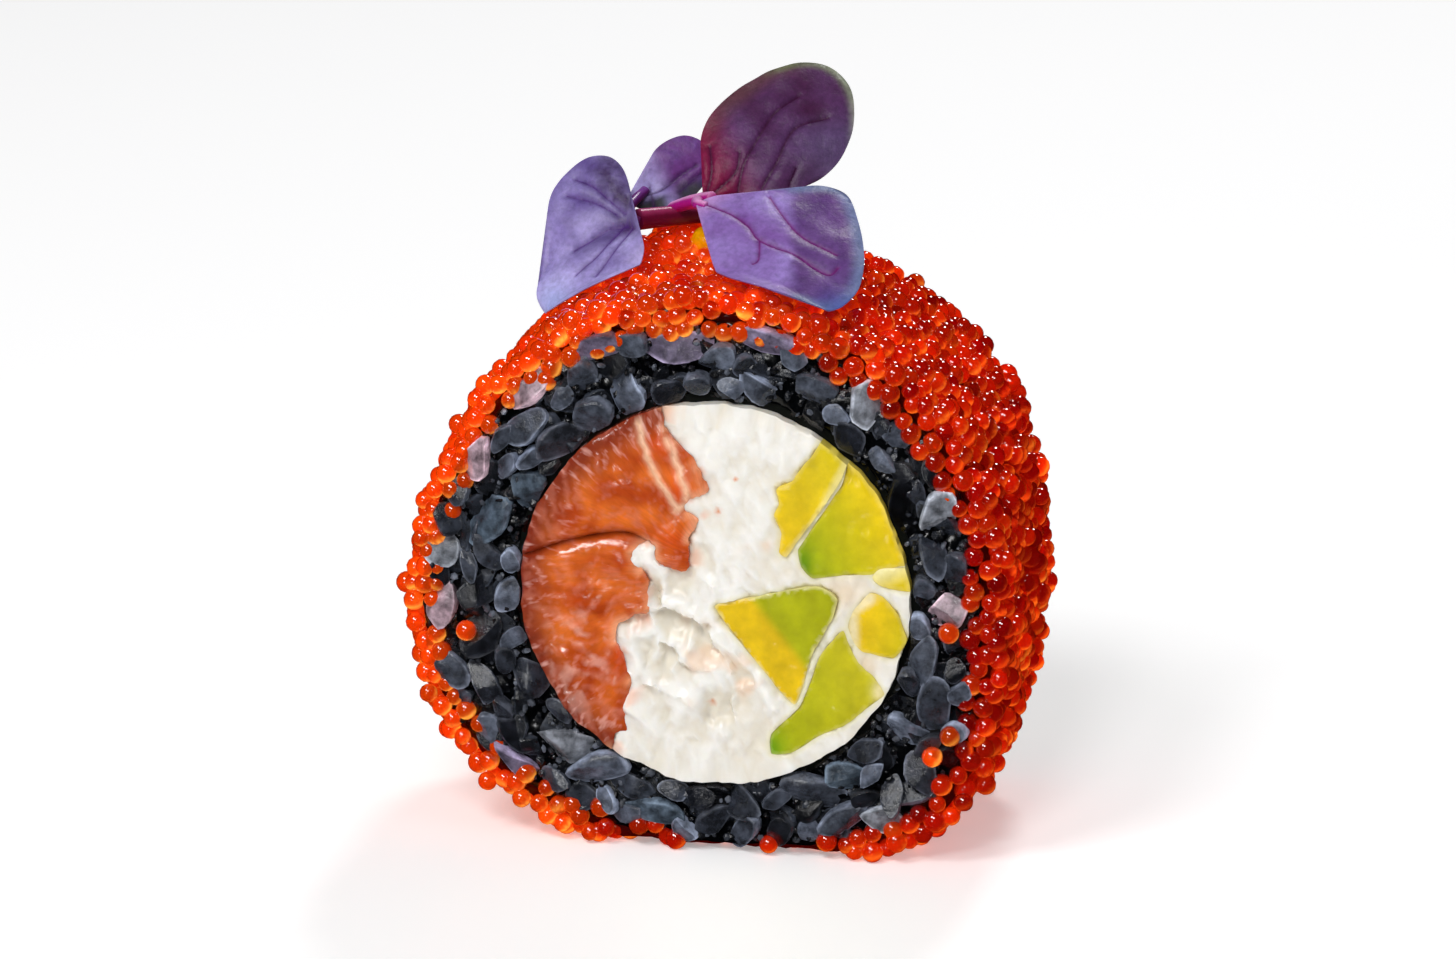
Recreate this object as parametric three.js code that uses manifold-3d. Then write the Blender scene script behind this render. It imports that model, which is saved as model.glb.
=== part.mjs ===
// One slice of an inside-out sushi roll with a coat of fish roe, lying on its curved side.
//
// From the outside in: a coat of roe, a ring of black rice, a band of seaweed, and a core of raw
// salmon, cream cheese and six pieces of avocado, which all run through the slice. Two sprouts with
// a pair of seed leaves each, and a drop of yellow sauce, lie on top.
//
// Millimetres. X runs across the cut face, Y along the roll's axis with the shown face at -Y, and
// Z up. The origin is the middle of the flat on which the slice rests. Sections are drawn about
// the roll's axis, in a group that is lifted by AXIS_HEIGHT.

import * as THREE from "three";
import { mergeVertices } from "three/addons/utils/BufferGeometryUtils.js";
import Module from "manifold-3d";

// Driving dimensions
const SLICE_LENGTH = 24; // a 190 mm seaweed sheet cut in eight
const AXIS_HEIGHT = 22; // the roll sags a little: its axis is nearer the table than its top
const RICE_RADIUS = 21;
const SAG_BUMPS = [
  // where the sagged roll bulges from its round: [angle, height, width], degrees and mm
  [-43, 3.9, 25],
  [-151, 1.7, 32],
  [12, 1.5, 55],
  [138, -0.6, 22],
];
const ROE_LAYER = 2.3;
const ROE_THIN = [180, 0.8, 45]; // the coat is thinner on the left: angle, mm less, width
const ROE_UNDER = 1.3; // pressed flat where the slice rests
const ROE_DIAMETER = 1.85;
const ROE_RELIEF = 0.35; // a roe stands this far out of the coat, or its gaps this far in
const ROE_RELIEF_SPREAD = 0.12;
const ROE_WANDER = 0.2; // how far a roe strays along the coat
const FILLING_CENTRE = [1.7, -0.6];
const FILLING_RADIUS = 15.35;
const FILLING_INSET = 0.2; // the fillings' cut faces lie this far in from the rice's
const NORI_THICKNESS = 0.5;
const NORI_INSET = 0.3;
const GRAIN = [3.5, 2.4, 2.2]; // a cooked grain's length, width and height
const GRAIN_PITCH = [3.1, 2.65];
const GRAIN_INSET = 0.95; // a grain's middle, and the rice between the grains, in from the cut face
const RICE_INSET = 0.8;
const GRAIN_SCATTER = [0.5, 0.3, 0.4]; // how far a grain strays from its place
const GRAIN_STRETCH = 0.2;
const LEAF_THICKNESS = 0.5;
const STEM_DIAMETER = 1.1;
const NODE_GAP = 0.3; // clearance between neighbouring pieces

// How far each filling stands out of the cut face, and how rough that face is
const SALMON_FACE = { proud: 0.3, roughness: 0.15 };
const CHEESE_FACE = { proud: 0, roughness: 0.35 };
const AVOCADO_ROUGHNESS = 0.08;

// The coat's rim at a cut face, from its inner edge outwards: how far in from the face, the share
// of the coat's thickness, and how much of the roe's relief points along the axis and outwards
const ROE_RIM = [
  { inset: 0.3, share: 0, along: 0, outward: 0 },
  { inset: 0.1, share: 0.45, along: 1, outward: 0 },
  { inset: 0.5, share: 0.9, along: 0.7, outward: 0.7 },
];
const ROE_SIDE_INSET = 1.5;

// Counts that set how fine the solids are
const ROE_COLUMNS = 102; // a multiple of 3, for the roe's three-row pattern
const ROE_ROWS = 23; // odd, so that the first and last row line up
const ROUND_STEPS = 56;
const ROUND_REACH = 28; // mm from the roll's axis, past the farthest rice
const RELIEF_STEPS = 16;
const LEAF_STEPS = 26;
const LEAF_RINGS = [0.36, 0.7, 1]; // rings of points, as shares of the way from heart to edge
const STALK_SIDES = 8;
const STALK_STEPS = 8;
const OVERCUT = 2; // mm that a cutter reaches past each cut face
const SLIVER = 0.02; // mm: edges shorter than this are closed up after a join or a cut

const wasm = await Module();
wasm.setup();

// A repeatable random number from 0 to 1
let seed = 20261;
function random() {
  seed = (seed * 1664525 + 1013904223) % 4294967296;
  return seed / 4294967296;
}

function spread(amount) {
  return (random() * 2 - 1) * amount;
}

// three.js geometry to a manifold-3d solid and back
function toSolid(geometry) {
  const bare = geometry.clone();
  bare.deleteAttribute("normal");
  bare.deleteAttribute("uv");
  const merged = mergeVertices(bare, 1e-4);
  return new wasm.Manifold(
    new wasm.Mesh({
      numProp: 3,
      vertProperties: new Float32Array(merged.attributes.position.array),
      triVerts: new Uint32Array(merged.index.array),
    }),
  );
}

function toGeometry(solid) {
  const mesh = solid.getMesh();
  const geometry = new THREE.BufferGeometry();
  geometry.setAttribute("position", new THREE.BufferAttribute(mesh.vertProperties, 3));
  geometry.setIndex(new THREE.BufferAttribute(mesh.triVerts, 1));
  geometry.computeVertexNormals();
  return geometry;
}

function geometryOf(points, triangles) {
  const geometry = new THREE.BufferGeometry();
  const flat = points.flatMap((point) => point.toArray());
  geometry.setAttribute("position", new THREE.Float32BufferAttribute(flat, 3));
  geometry.setIndex(triangles);
  return geometry;
}

// The piece of a solid that holds nearly all of it, without loose scraps or sliver faces
function largestBody(solid) {
  const bodies = solid.simplify(SLIVER).decompose();
  return bodies.reduce((best, body) => (body.volume() > best.volume() ? body : best));
}

// --- The roll's cross-section -----------------------------------------------------------------

const radians = THREE.MathUtils.degToRad;

function bell(angle, [centre, height, width]) {
  const away = THREE.MathUtils.euclideanModulo(angle - centre + 180, 360) - 180;
  return height * Math.exp(-((away / width) ** 2));
}

// Radius of the rice's outside at an angle in degrees, from +X round to +Z
function riceRadius(angle) {
  return SAG_BUMPS.reduce((radius, bump) => radius + bell(angle, bump), RICE_RADIUS);
}

function roeThickness(angle) {
  return ROE_LAYER - bell(angle, ROE_THIN);
}

// A point of the section, which the table flattens at the floor
function sectionPoint(angle, radius, floor) {
  const x = radius * Math.cos(radians(angle));
  const z = radius * Math.sin(radians(angle));
  return new THREE.Vector2(x, Math.max(z, floor));
}

function riceOutline(offset) {
  const floor = ROE_UNDER - AXIS_HEIGHT - offset;
  const points = [];
  for (let step = 0; step < ROUND_STEPS; step++) {
    const angle = (360 * step) / ROUND_STEPS;
    points.push(sectionPoint(angle, riceRadius(angle) + offset, floor));
  }
  return points;
}

function fillingCircle(radius) {
  const points = [];
  for (let step = 0; step < ROUND_STEPS; step++) {
    const angle = (2 * Math.PI * step) / ROUND_STEPS;
    const x = FILLING_CENTRE[0] + radius * Math.cos(angle);
    points.push(new THREE.Vector2(x, FILLING_CENTRE[1] + radius * Math.sin(angle)));
  }
  return points;
}

// A prism of the section along Y, centred on the slice's middle, with an optional hole
function prism(points, length, hole) {
  const shape = new THREE.Shape(points);
  if (hole) {
    shape.holes.push(new THREE.Path(hole));
  }
  const geometry = new THREE.ExtrudeGeometry(shape, { depth: length, bevelEnabled: false });
  geometry.rotateX(Math.PI / 2);
  geometry.translate(0, length / 2, 0);
  return toSolid(geometry);
}

// --- Roe: a ring whose skin is beads the size of roe --------------------------------------------

// Rows of the coat from the inner front edge, over the outside, to the inner back edge
function roeProfile() {
  const half = SLICE_LENGTH / 2;
  const front = ROE_RIM.map(({ inset, share, along, outward }) => {
    return { y: inset - half, share, along: -along, outward };
  });
  const back = front.map(({ y, share, along, outward }) => ({ y: -y, share, along: -along, outward }));
  const sideRows = ROE_ROWS - 2 * ROE_RIM.length;
  const reach = half - ROE_SIDE_INSET;
  const side = Array.from({ length: sideRows }, (_, row) => {
    return { y: reach * ((2 * row) / (sideRows - 1) - 1), share: 1, along: 0, outward: 1 };
  });
  return [...front, ...side, ...back.reverse()];
}

function roePoint({ y, share, along, outward }, row, column) {
  const turn = 360 / ROE_COLUMNS;
  const angle = (column + row / 2) * turn;
  if (share === 0) {
    const floor = ROE_UNDER - AXIS_HEIGHT - NODE_GAP / 2;
    const edge = sectionPoint(angle, riceRadius(angle) + NODE_GAP / 2, floor);
    return new THREE.Vector3(edge.x, y, edge.y);
  }
  const isBead = (column - row + 3 * ROE_ROWS) % 3 === 0;
  const relief = (isBead ? ROE_RELIEF : -ROE_RELIEF) + spread(ROE_RELIEF_SPREAD);
  const strayed = angle + spread(ROE_WANDER) * turn;
  const coat = riceRadius(strayed) + NODE_GAP / 2 + share * roeThickness(strayed);
  const spot = sectionPoint(strayed, coat + relief * outward, -AXIS_HEIGHT);
  return new THREE.Vector3(spot.x, y + relief * along + spread(ROE_WANDER) * outward, spot.y);
}

function roeCoat() {
  const points = [];
  roeProfile().forEach((profile, row) => {
    for (let column = 0; column < ROE_COLUMNS; column++) {
      points.push(roePoint(profile, row, column));
    }
  });
  const at = (column, row) => row * ROE_COLUMNS + (column % ROE_COLUMNS);
  const triangles = [];
  for (let row = 0; row < ROE_ROWS; row++) {
    // After the last row the inner wall closes the ring, turned back by the rows' lean
    const isWall = row === ROE_ROWS - 1;
    const next = isWall ? 0 : row + 1;
    const lean = isWall ? (ROE_ROWS - 1) / 2 : 0;
    for (let column = 0; column < ROE_COLUMNS; column++) {
      const a = at(column, row);
      const b = at(column + 1, row);
      const c = at(column + 1 + lean, next);
      const d = at(column + lean, next);
      triangles.push(a, d, b, b, d, c);
    }
  }
  return toSolid(geometryOf(points, triangles));
}

function bead([x, y, z], size, detail) {
  const geometry = new THREE.IcosahedronGeometry(1, detail);
  geometry.scale(size[0] / 2, size[1] / 2, size[2] / 2);
  geometry.translate(x, y, z);
  return toSolid(geometry);
}

// A roe that stands on the coat by itself: angle in degrees and y
const LOOSE_ROE = [
  [138, -10.6],
  [184, -9.8],
  [226, -10.4],
  [214, -9.2],
  [-34, -9.5],
  [18, -4.5],
  [-8, 3.5],
];
const LOOSE_LIFT = 0.2;
const SAUCE_DROP = { angle: 94.5, y: 4.2, size: [3.2, 3, 2.8], lift: 0.5 };

function onCoat(angle, y, lift) {
  const radius = riceRadius(angle) + roeThickness(angle) + lift;
  return [radius * Math.cos(radians(angle)), y, radius * Math.sin(radians(angle))];
}

function roeCrust() {
  let crust = roeCoat();
  for (const [angle, y] of LOOSE_ROE) {
    crust = crust.add(bead(onCoat(angle, y, LOOSE_LIFT), Array(3).fill(ROE_DIAMETER), 0));
  }
  const drop = bead(onCoat(SAUCE_DROP.angle, SAUCE_DROP.y, SAUCE_DROP.lift), SAUCE_DROP.size, 1);
  return largestBody(crust.add(drop));
}

// --- Black rice: a ring with the grains that show fused on both cut faces -----------------------

function riceInnerRadius() {
  return FILLING_RADIUS + NORI_THICKNESS + 2 * NODE_GAP;
}

function hasRoomForGrain(x, z) {
  const angle = THREE.MathUtils.radToDeg(Math.atan2(z, x));
  const toOutline = riceRadius(angle) - Math.hypot(x, z);
  const toFilling = Math.hypot(x - FILLING_CENTRE[0], z - FILLING_CENTRE[1]) - riceInnerRadius();
  const toFloor = z + AXIS_HEIGHT - ROE_UNDER;
  return Math.min(toOutline, toFilling, toFloor) > GRAIN[1] / 3;
}

function grain(x, y, z, turn) {
  const geometry = new THREE.IcosahedronGeometry(1, 0);
  const stretch = 1 + spread(GRAIN_STRETCH);
  geometry.scale((GRAIN[0] / 2) * stretch, GRAIN[2] / 2, GRAIN[1] / 2 / stretch);
  geometry.rotateY(turn);
  geometry.translate(x, y, z);
  return toSolid(geometry);
}

// Roe that fell on the shown face while the roll was cut: [x, z]
const STRAY_ROE = [[19.6, -3.6], [-18.2, -4.6], [20.1, -12.2]];

function blackRice() {
  const outline = riceOutline(-NODE_GAP / 2);
  const inside = fillingCircle(riceInnerRadius());
  const face = SLICE_LENGTH / 2;
  let rice = prism(outline, SLICE_LENGTH - 2 * RICE_INSET, inside);
  const columns = Math.ceil(ROUND_REACH / GRAIN_PITCH[0]);
  const rows = Math.ceil(ROUND_REACH / GRAIN_PITCH[1]);
  for (const side of [-1, 1]) {
    for (let row = -rows; row <= rows; row++) {
      for (let column = -columns; column <= columns; column++) {
        const x = (column + (row % 2) / 2) * GRAIN_PITCH[0] + spread(GRAIN_SCATTER[0]);
        const y = side * (face - GRAIN_INSET + spread(GRAIN_SCATTER[1]));
        const z = row * GRAIN_PITCH[1] + spread(GRAIN_SCATTER[2]);
        const turn = spread(Math.PI / 2);
        if (hasRoomForGrain(x, z)) {
          rice = rice.add(grain(x, y, z, turn));
        }
      }
    }
  }
  for (const [x, z] of STRAY_ROE) {
    rice = rice.add(bead([x, ROE_DIAMETER / 4 - face, z], Array(3).fill(ROE_DIAMETER), 0));
  }
  return largestBody(rice.intersect(prism(outline, SLICE_LENGTH + 2 * OVERCUT, inside)));
}

function noriBand() {
  const inner = FILLING_RADIUS + NODE_GAP;
  const length = SLICE_LENGTH - 2 * NORI_INSET;
  return prism(fillingCircle(inner + NORI_THICKNESS), length, fillingCircle(inner));
}

// --- Fillings: outlines on the cut face, [x, z] about the roll's axis ---------------------------

const SALMON_EDGE = [
  // the ragged side towards the cheese, from the top of the face down
  [-2.6, 15.5], [-2.2, 13.3], [0.4, 10.7], [0.4, 8.7], [1.2, 7.5], [-0.6, 6.6],
  [0.2, 4.6], [-0.6, 2.2], [-2.6, 1.2], [-4.3, 2.6], [-4.2, 0.2], [-3.6, -2.1],
  [-6.4, -4], [-5.6, -7], [-5.2, -10.4], [-6, -13.5], [-7.6, -15.5],
];
const SALMON_CREASE = [[-16, 1.6], [-12.9, 2.2], [-8.9, 3.7], [-4.6, 3.3]];
const SALMON_BACK = [[-16, -12], [-16, 13]];
const AVOCADO = {
  avocado_strip: [
    [11.2, 13.6], [12.9, 11.6], [11.5, 8.4], [10.1, 6.1], [8.1, 3.6], [7.2, 2.7],
    [6.5, 5], [7, 8.2], [8.9, 10.3],
  ],
  avocado_wedge: [
    [13.1, 11.5], [17, 9], [18.5, 3.3], [14.4, 2.1], [9.4, 1.2], [8.4, 2], [8.2, 3.2],
    [10.3, 6.1], [11.8, 8.6],
  ],
  avocado_sliver: [[14.2, 1.9], [18.5, 3.1], [18.5, 0.4], [15.6, 0.4]],
  avocado_middle: [
    [1.8, -1.5], [5.3, -0.4], [10.1, 0.7], [11.6, -0.5], [10.4, -3.4], [9.2, -5.6],
    [7.9, -9.2], [4.2, -4.8],
  ],
  avocado_right: [
    [12.6, -0.9], [14.1, 0], [16, -1.3], [18, -3.4], [17.2, -5], [14.2, -4.6], [12.7, -3.8],
  ],
  avocado_lower: [
    [11.4, -3], [12.3, -4], [13.1, -5.6], [13.8, -7.8], [16, -9], [11.5, -10.6],
    [9.2, -12.3], [6, -13.6], [6, -11.9], [7.9, -9.4], [9.7, -5.7],
  ],
};
const AVOCADO_PROUD = {
  // how far each piece stands out of the cut face
  avocado_strip: 0.5,
  avocado_wedge: -0.3,
  avocado_sliver: 0.1,
  avocado_middle: 0.4,
  avocado_right: 0.2,
  avocado_lower: -0.2,
};

function toVectors(points) {
  return points.map(([x, z]) => new THREE.Vector2(x, z));
}

// An outline moved outward by a distance, or inward by a negative one
function grown(points, distance) {
  const turned = THREE.ShapeUtils.isClockWise(points) ? -1 : 1;
  return points.map((point, index) => {
    const before = points[(index + points.length - 1) % points.length];
    const after = points[(index + 1) % points.length];
    const into = point.clone().sub(before).normalize();
    const out = after.clone().sub(point).normalize();
    const normal = new THREE.Vector2(into.y + out.y, -into.x - out.x).normalize();
    const spreadOut = distance / Math.max(normal.x * into.y - normal.y * into.x, 0.5);
    return point.clone().addScaledVector(normal, spreadOut * turned);
  });
}

// A slab the depth of the slice whose two faces carry a filling's relief
function reliefSlab({ proud, roughness }) {
  const reach = FILLING_RADIUS + 1;
  const step = (2 * reach) / RELIEF_STEPS;
  const line = RELIEF_STEPS + 1;
  const points = [];
  for (const side of [-1, 1]) {
    for (let row = 0; row < line; row++) {
      for (let column = 0; column < line; column++) {
        const x = FILLING_CENTRE[0] - reach + column * step;
        const z = FILLING_CENTRE[1] - reach + row * step;
        const y = side * (SLICE_LENGTH / 2 - FILLING_INSET + proud + spread(roughness));
        points.push(new THREE.Vector3(x, y, z));
      }
    }
  }
  const back = line * line;
  const triangles = [];
  for (let row = 0; row < RELIEF_STEPS; row++) {
    for (let column = 0; column < RELIEF_STEPS; column++) {
      const a = row * line + column;
      const b = a + 1;
      const c = a + line;
      const d = c + 1;
      triangles.push(a, b, d, a, d, c);
      triangles.push(back + a, back + d, back + b, back + a, back + c, back + d);
    }
  }
  for (let step = 0; step < RELIEF_STEPS; step++) {
    const left = step * line;
    const right = left + RELIEF_STEPS;
    const top = RELIEF_STEPS * line + step;
    const walls = [
      [step + 1, step],
      [left, left + line],
      [right + line, right],
      [top, top + 1],
    ];
    for (const [a, b] of walls) {
      triangles.push(a, b, back + b, a, back + b, back + a);
    }
  }
  return toSolid(geometryOf(points, triangles));
}

function filling(outline, face) {
  const column = prism(grown(outline, -NODE_GAP / 2), SLICE_LENGTH + 2 * OVERCUT);
  const round = prism(fillingCircle(FILLING_RADIUS), SLICE_LENGTH + 2 * OVERCUT);
  return largestBody(column.intersect(round).intersect(reliefSlab(face)));
}

function salmonOutlines() {
  const split = SALMON_EDGE.findIndex(([x, z]) => x < -4 && z > 0);
  const upper = [SALMON_BACK[1], ...SALMON_EDGE.slice(0, split), ...[...SALMON_CREASE].reverse()];
  const lower = [SALMON_BACK[0], ...SALMON_CREASE, ...SALMON_EDGE.slice(split)];
  return { salmon_upper: toVectors(upper), salmon_lower: toVectors(lower) };
}

function creamCheese(outlines) {
  let cheese = prism(fillingCircle(FILLING_RADIUS), SLICE_LENGTH + 2 * OVERCUT);
  for (const outline of outlines) {
    cheese = cheese.subtract(prism(grown(outline, NODE_GAP / 2), SLICE_LENGTH + 4 * OVERCUT));
  }
  return largestBody(cheese.intersect(reliefSlab(CHEESE_FACE)));
}

// --- Sprouts ------------------------------------------------------------------------------------

// A leaf lies in a plane that faces [azimuth, elevation]; spin turns its midrib in that plane.
// Its outline is [along, across] the midrib from its base, and bend lifts it off the plane.
const LEFT_NEAR_LEAF = {
  base: [-7.7, 0.5, 25.9],
  facing: [-6, 44],
  spin: -149,
  outline: [
    [-0.7, -0.6], [-1.9, -3.6], [-1.2, -6.4], [0.8, -6.9], [3.6, -5.1], [5.5, -2.7],
    [5.9, -0.2], [7.6, 1.8], [8.7, 3.4], [7.4, 5.4], [4.4, 5.2], [0.6, 4.1], [-0.9, 2.3],
  ],
  heart: [2.5, -0.3],
  bend: (along, across) => 0.2 * Math.abs(across) - 0.03 * across ** 2 - 0.02 * along ** 2,
};
const LEFT_FAR_LEAF = {
  base: [-8, 6.5, 27],
  facing: [10, 35],
  spin: 12,
  outline: [
    [-0.4, -0.5], [0.7, 0.8], [1.8, 2], [2.9, 3.5], [4.4, 3.9], [6.1, 3], [6.8, 1.1],
    [5.4, -0.9], [3.6, -2.2], [1.6, -2.3], [-0.1, -1.5],
  ],
  heart: [3.4, 0.4],
  bend: (along, across) => 0.3 * Math.abs(across - 0.3) - 0.03 * (along - 3) ** 2,
};
const RIGHT_UPPER_LEAF = {
  base: [0, 0.8, 28.6],
  facing: [12, 38],
  spin: 18,
  outline: [
    [-0.3, 0], [-0.2, 3.1], [1.1, 5.9], [3.8, 7.8], [6.9, 8.8], [10.1, 8.6], [12.4, 7],
    [12.9, 4.5], [11.8, 1.5], [10.2, 0.1], [8.1, -1.4], [4.8, -1.4], [1.4, -0.7],
  ],
  heart: [6, 3.4],
  bend: (along, across) => 0.9 - 0.018 * (along - 6) ** 2 - 0.03 * (across - 2.5) ** 2,
};
const RIGHT_LOWER_LEAF = {
  base: [0.3, -1, 28.8],
  facing: [0, 58],
  spin: -38,
  outline: [
    [-0.2, 0], [1.1, -0.9], [3.8, -3.7], [7, -5.3], [10.2, -5.1], [14, -4.1], [16.6, -2.8],
    [16.8, -0.9], [14.7, 2], [11.2, 5], [8.2, 6.7], [5.6, 6.5], [3.4, 3.6], [1, 1.3],
  ],
  heart: [8.4, 0.2],
  bend: (along, across) => {
    const pastCrease = Math.max(0, 0.6 * along + 0.8 * across - 3.2);
    return 0.3 - 0.1 * pastCrease - 0.012 * across ** 2;
  },
};

// Unit vectors of a leaf: its midrib, across it, and the way its face looks
function leafAxes({ facing, spin }) {
  const [azimuth, elevation] = facing.map(radians);
  const side = new THREE.Vector3(Math.cos(azimuth), Math.sin(azimuth), 0);
  const face = new THREE.Vector3(
    Math.sin(azimuth) * Math.cos(elevation),
    -Math.cos(azimuth) * Math.cos(elevation),
    Math.sin(elevation),
  );
  const up = new THREE.Vector3().crossVectors(face, side);
  const midrib = side.applyAxisAngle(face, radians(spin));
  const across = up.applyAxisAngle(face, radians(spin));
  return { midrib, across, face };
}

// Where a leaf would dip into the roe it lies on it instead
function restOnCoat(point, clearance) {
  const angle = THREE.MathUtils.radToDeg(Math.atan2(point.z, point.x));
  const lowest = riceRadius(angle) + roeThickness(angle) + clearance;
  const radius = Math.hypot(point.x, point.z);
  if (radius < lowest && Math.abs(point.y) < SLICE_LENGTH / 2 + clearance) {
    point.x *= lowest / radius;
    point.z *= lowest / radius;
  }
  return point;
}

function leaf(shape) {
  const { midrib, across, face } = leafAxes(shape);
  const corners = shape.outline.map(([u, v]) => new THREE.Vector3(u, v, 0));
  if (THREE.ShapeUtils.isClockWise(corners)) {
    corners.reverse();
  }
  const edge = new THREE.CatmullRomCurve3(corners, true).getPoints(LEAF_STEPS).slice(0, LEAF_STEPS);
  const heart = new THREE.Vector3(...shape.heart, 0);
  const flat = [heart];
  for (const share of LEAF_RINGS) {
    for (const corner of edge) {
      flat.push(heart.clone().lerp(corner, share));
    }
  }
  const clearance = ROE_RELIEF + NODE_GAP + LEAF_THICKNESS / 2;
  const middle = flat.map(({ x: u, y: v }) => {
    const point = new THREE.Vector3(...shape.base);
    point.addScaledVector(midrib, u).addScaledVector(across, v);
    point.addScaledVector(face, shape.bend(u, v));
    return restOnCoat(point, clearance);
  });
  const half = LEAF_THICKNESS / 2;
  const front = middle.map((point) => point.clone().addScaledVector(face, half));
  const back = middle.map((point) => point.clone().addScaledVector(face, -half));
  const triangles = [];
  const shift = middle.length;
  const both = (a, b, c) => triangles.push(a, b, c, a + shift, c + shift, b + shift);
  for (let step = 0; step < LEAF_STEPS; step++) {
    const next = (step + 1) % LEAF_STEPS;
    both(0, 1 + step, 1 + next);
    for (let ring = 0; ring < LEAF_RINGS.length - 1; ring++) {
      const inner = 1 + ring * LEAF_STEPS;
      const outer = inner + LEAF_STEPS;
      both(inner + step, outer + step, outer + next);
      both(inner + step, outer + next, inner + next);
    }
    const rim = 1 + (LEAF_RINGS.length - 1) * LEAF_STEPS;
    triangles.push(rim + next, rim + step, rim + step + shift);
    triangles.push(rim + next, rim + step + shift, rim + next + shift);
  }
  return toSolid(geometryOf([...front, ...back], triangles));
}

// A stalk: a tube with flat sides through a few points
function stalk(points, diameter) {
  const path = new THREE.CatmullRomCurve3(points.map((point) => new THREE.Vector3(...point)));
  const corners = Array.from({ length: STALK_SIDES }, (_, side) => {
    const angle = (2 * Math.PI * side) / STALK_SIDES;
    return new THREE.Vector2(Math.cos(angle), Math.sin(angle)).multiplyScalar(diameter / 2);
  });
  const settings = { steps: STALK_STEPS, extrudePath: path };
  return toSolid(new THREE.ExtrudeGeometry(new THREE.Shape(corners), settings));
}

const LEFT_STEM = [[-2.2, 6.8, 24.9], [-4.8, 3.9, 25.1], [-7.6, 0.6, 25.9]];
const LEFT_FORK = [[-7.3, 0.9, 25.9], [-8.5, 3.4, 26.3], [-7.8, 6.8, 27.1]];
const RIGHT_STEM = [[-4.3, 4.1, 26.6], [-2.4, 2.3, 27.6], [-0.3, 0.7, 28.5], [0.5, -1.2, 28.8]];

function sproutLeft() {
  const parts = [
    leaf(LEFT_NEAR_LEAF),
    leaf(LEFT_FAR_LEAF),
    stalk(LEFT_FORK, STEM_DIAMETER),
  ];
  return largestBody(parts.reduce((all, part) => all.add(part), stalk(LEFT_STEM, STEM_DIAMETER)));
}

function sproutRight() {
  const parts = [leaf(RIGHT_UPPER_LEAF), leaf(RIGHT_LOWER_LEAF)];
  return largestBody(parts.reduce((all, part) => all.add(part), stalk(RIGHT_STEM, STEM_DIAMETER)));
}

// --- Assembly -----------------------------------------------------------------------------------

const FINISH = {
  roe: { color: 0xd8330a, roughness: 0.12, metalness: 0 },
  rice: { color: 0x22252b, roughness: 0.4, metalness: 0 },
  nori: { color: 0x0c0f0c, roughness: 0.7, metalness: 0 },
  salmon: { color: 0xd4602c, roughness: 0.35, metalness: 0 },
  cheese: { color: 0xece8e0, roughness: 0.5, metalness: 0 },
  avocado: { color: 0xc2bc10, roughness: 0.45, metalness: 0 },
  sprout: { color: 0x5b3a78, roughness: 0.5, metalness: 0 },
};

const slice = new THREE.Group();
const roll = new THREE.Group();
roll.position.z = AXIS_HEIGHT;
slice.add(roll);

function addNode(name, solid, finish) {
  const material = new THREE.MeshStandardMaterial(FINISH[finish]);
  const mesh = new THREE.Mesh(toGeometry(solid), material);
  mesh.name = name;
  roll.add(mesh);
}

const salmon = salmonOutlines();
const avocado = Object.fromEntries(
  Object.entries(AVOCADO).map(([name, points]) => [name, toVectors(points)]),
);

addNode("roe_crust", roeCrust(), "roe");
addNode("black_rice", blackRice(), "rice");
addNode("nori_band", noriBand(), "nori");
for (const [name, outline] of Object.entries(salmon)) {
  addNode(name, filling(outline, SALMON_FACE), "salmon");
}
addNode("cream_cheese", creamCheese([...Object.values(salmon), ...Object.values(avocado)]), "cheese");
for (const [name, outline] of Object.entries(avocado)) {
  const face = { proud: AVOCADO_PROUD[name], roughness: AVOCADO_ROUGHNESS };
  addNode(name, filling(outline, face), "avocado");
}
addNode("sprout_left", sproutLeft(), "sprout");
addNode("sprout_right", sproutRight(), "sprout");

export default slice;
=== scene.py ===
# %% [markdown]
# # A slice of inside-out sushi roll
# We dress one slice of roll that lies on its curved side. From the outside in it has a coat of
# flying-fish roe, a ring of black rice, a band of seaweed and a core of raw salmon, cream cheese
# and avocado. Two sprouts and a drop of sauce lie on top. The sizes are those of the packed
# solids. Here each piece gets its real surface, and a heap of small things is built from them.

# %% Load the frame
import math

import bmesh
import bpy
import numpy as np
from mathutils import Matrix, Vector, geometry, kdtree, noise


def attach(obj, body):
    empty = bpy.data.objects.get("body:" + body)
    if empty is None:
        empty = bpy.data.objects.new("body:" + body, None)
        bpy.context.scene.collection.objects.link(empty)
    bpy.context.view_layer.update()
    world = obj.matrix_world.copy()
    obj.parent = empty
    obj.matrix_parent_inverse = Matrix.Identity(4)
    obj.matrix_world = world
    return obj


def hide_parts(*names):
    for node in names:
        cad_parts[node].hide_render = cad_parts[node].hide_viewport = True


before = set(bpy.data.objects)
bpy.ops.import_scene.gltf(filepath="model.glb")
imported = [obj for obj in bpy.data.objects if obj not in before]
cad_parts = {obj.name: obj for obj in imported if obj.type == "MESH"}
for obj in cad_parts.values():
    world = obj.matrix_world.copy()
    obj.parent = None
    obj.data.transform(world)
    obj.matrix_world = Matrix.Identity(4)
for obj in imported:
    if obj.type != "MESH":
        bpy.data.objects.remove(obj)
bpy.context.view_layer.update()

MM = 0.001  # one millimetre in Blender's metres
print("solids in the frame:", len(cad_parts))

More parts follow.
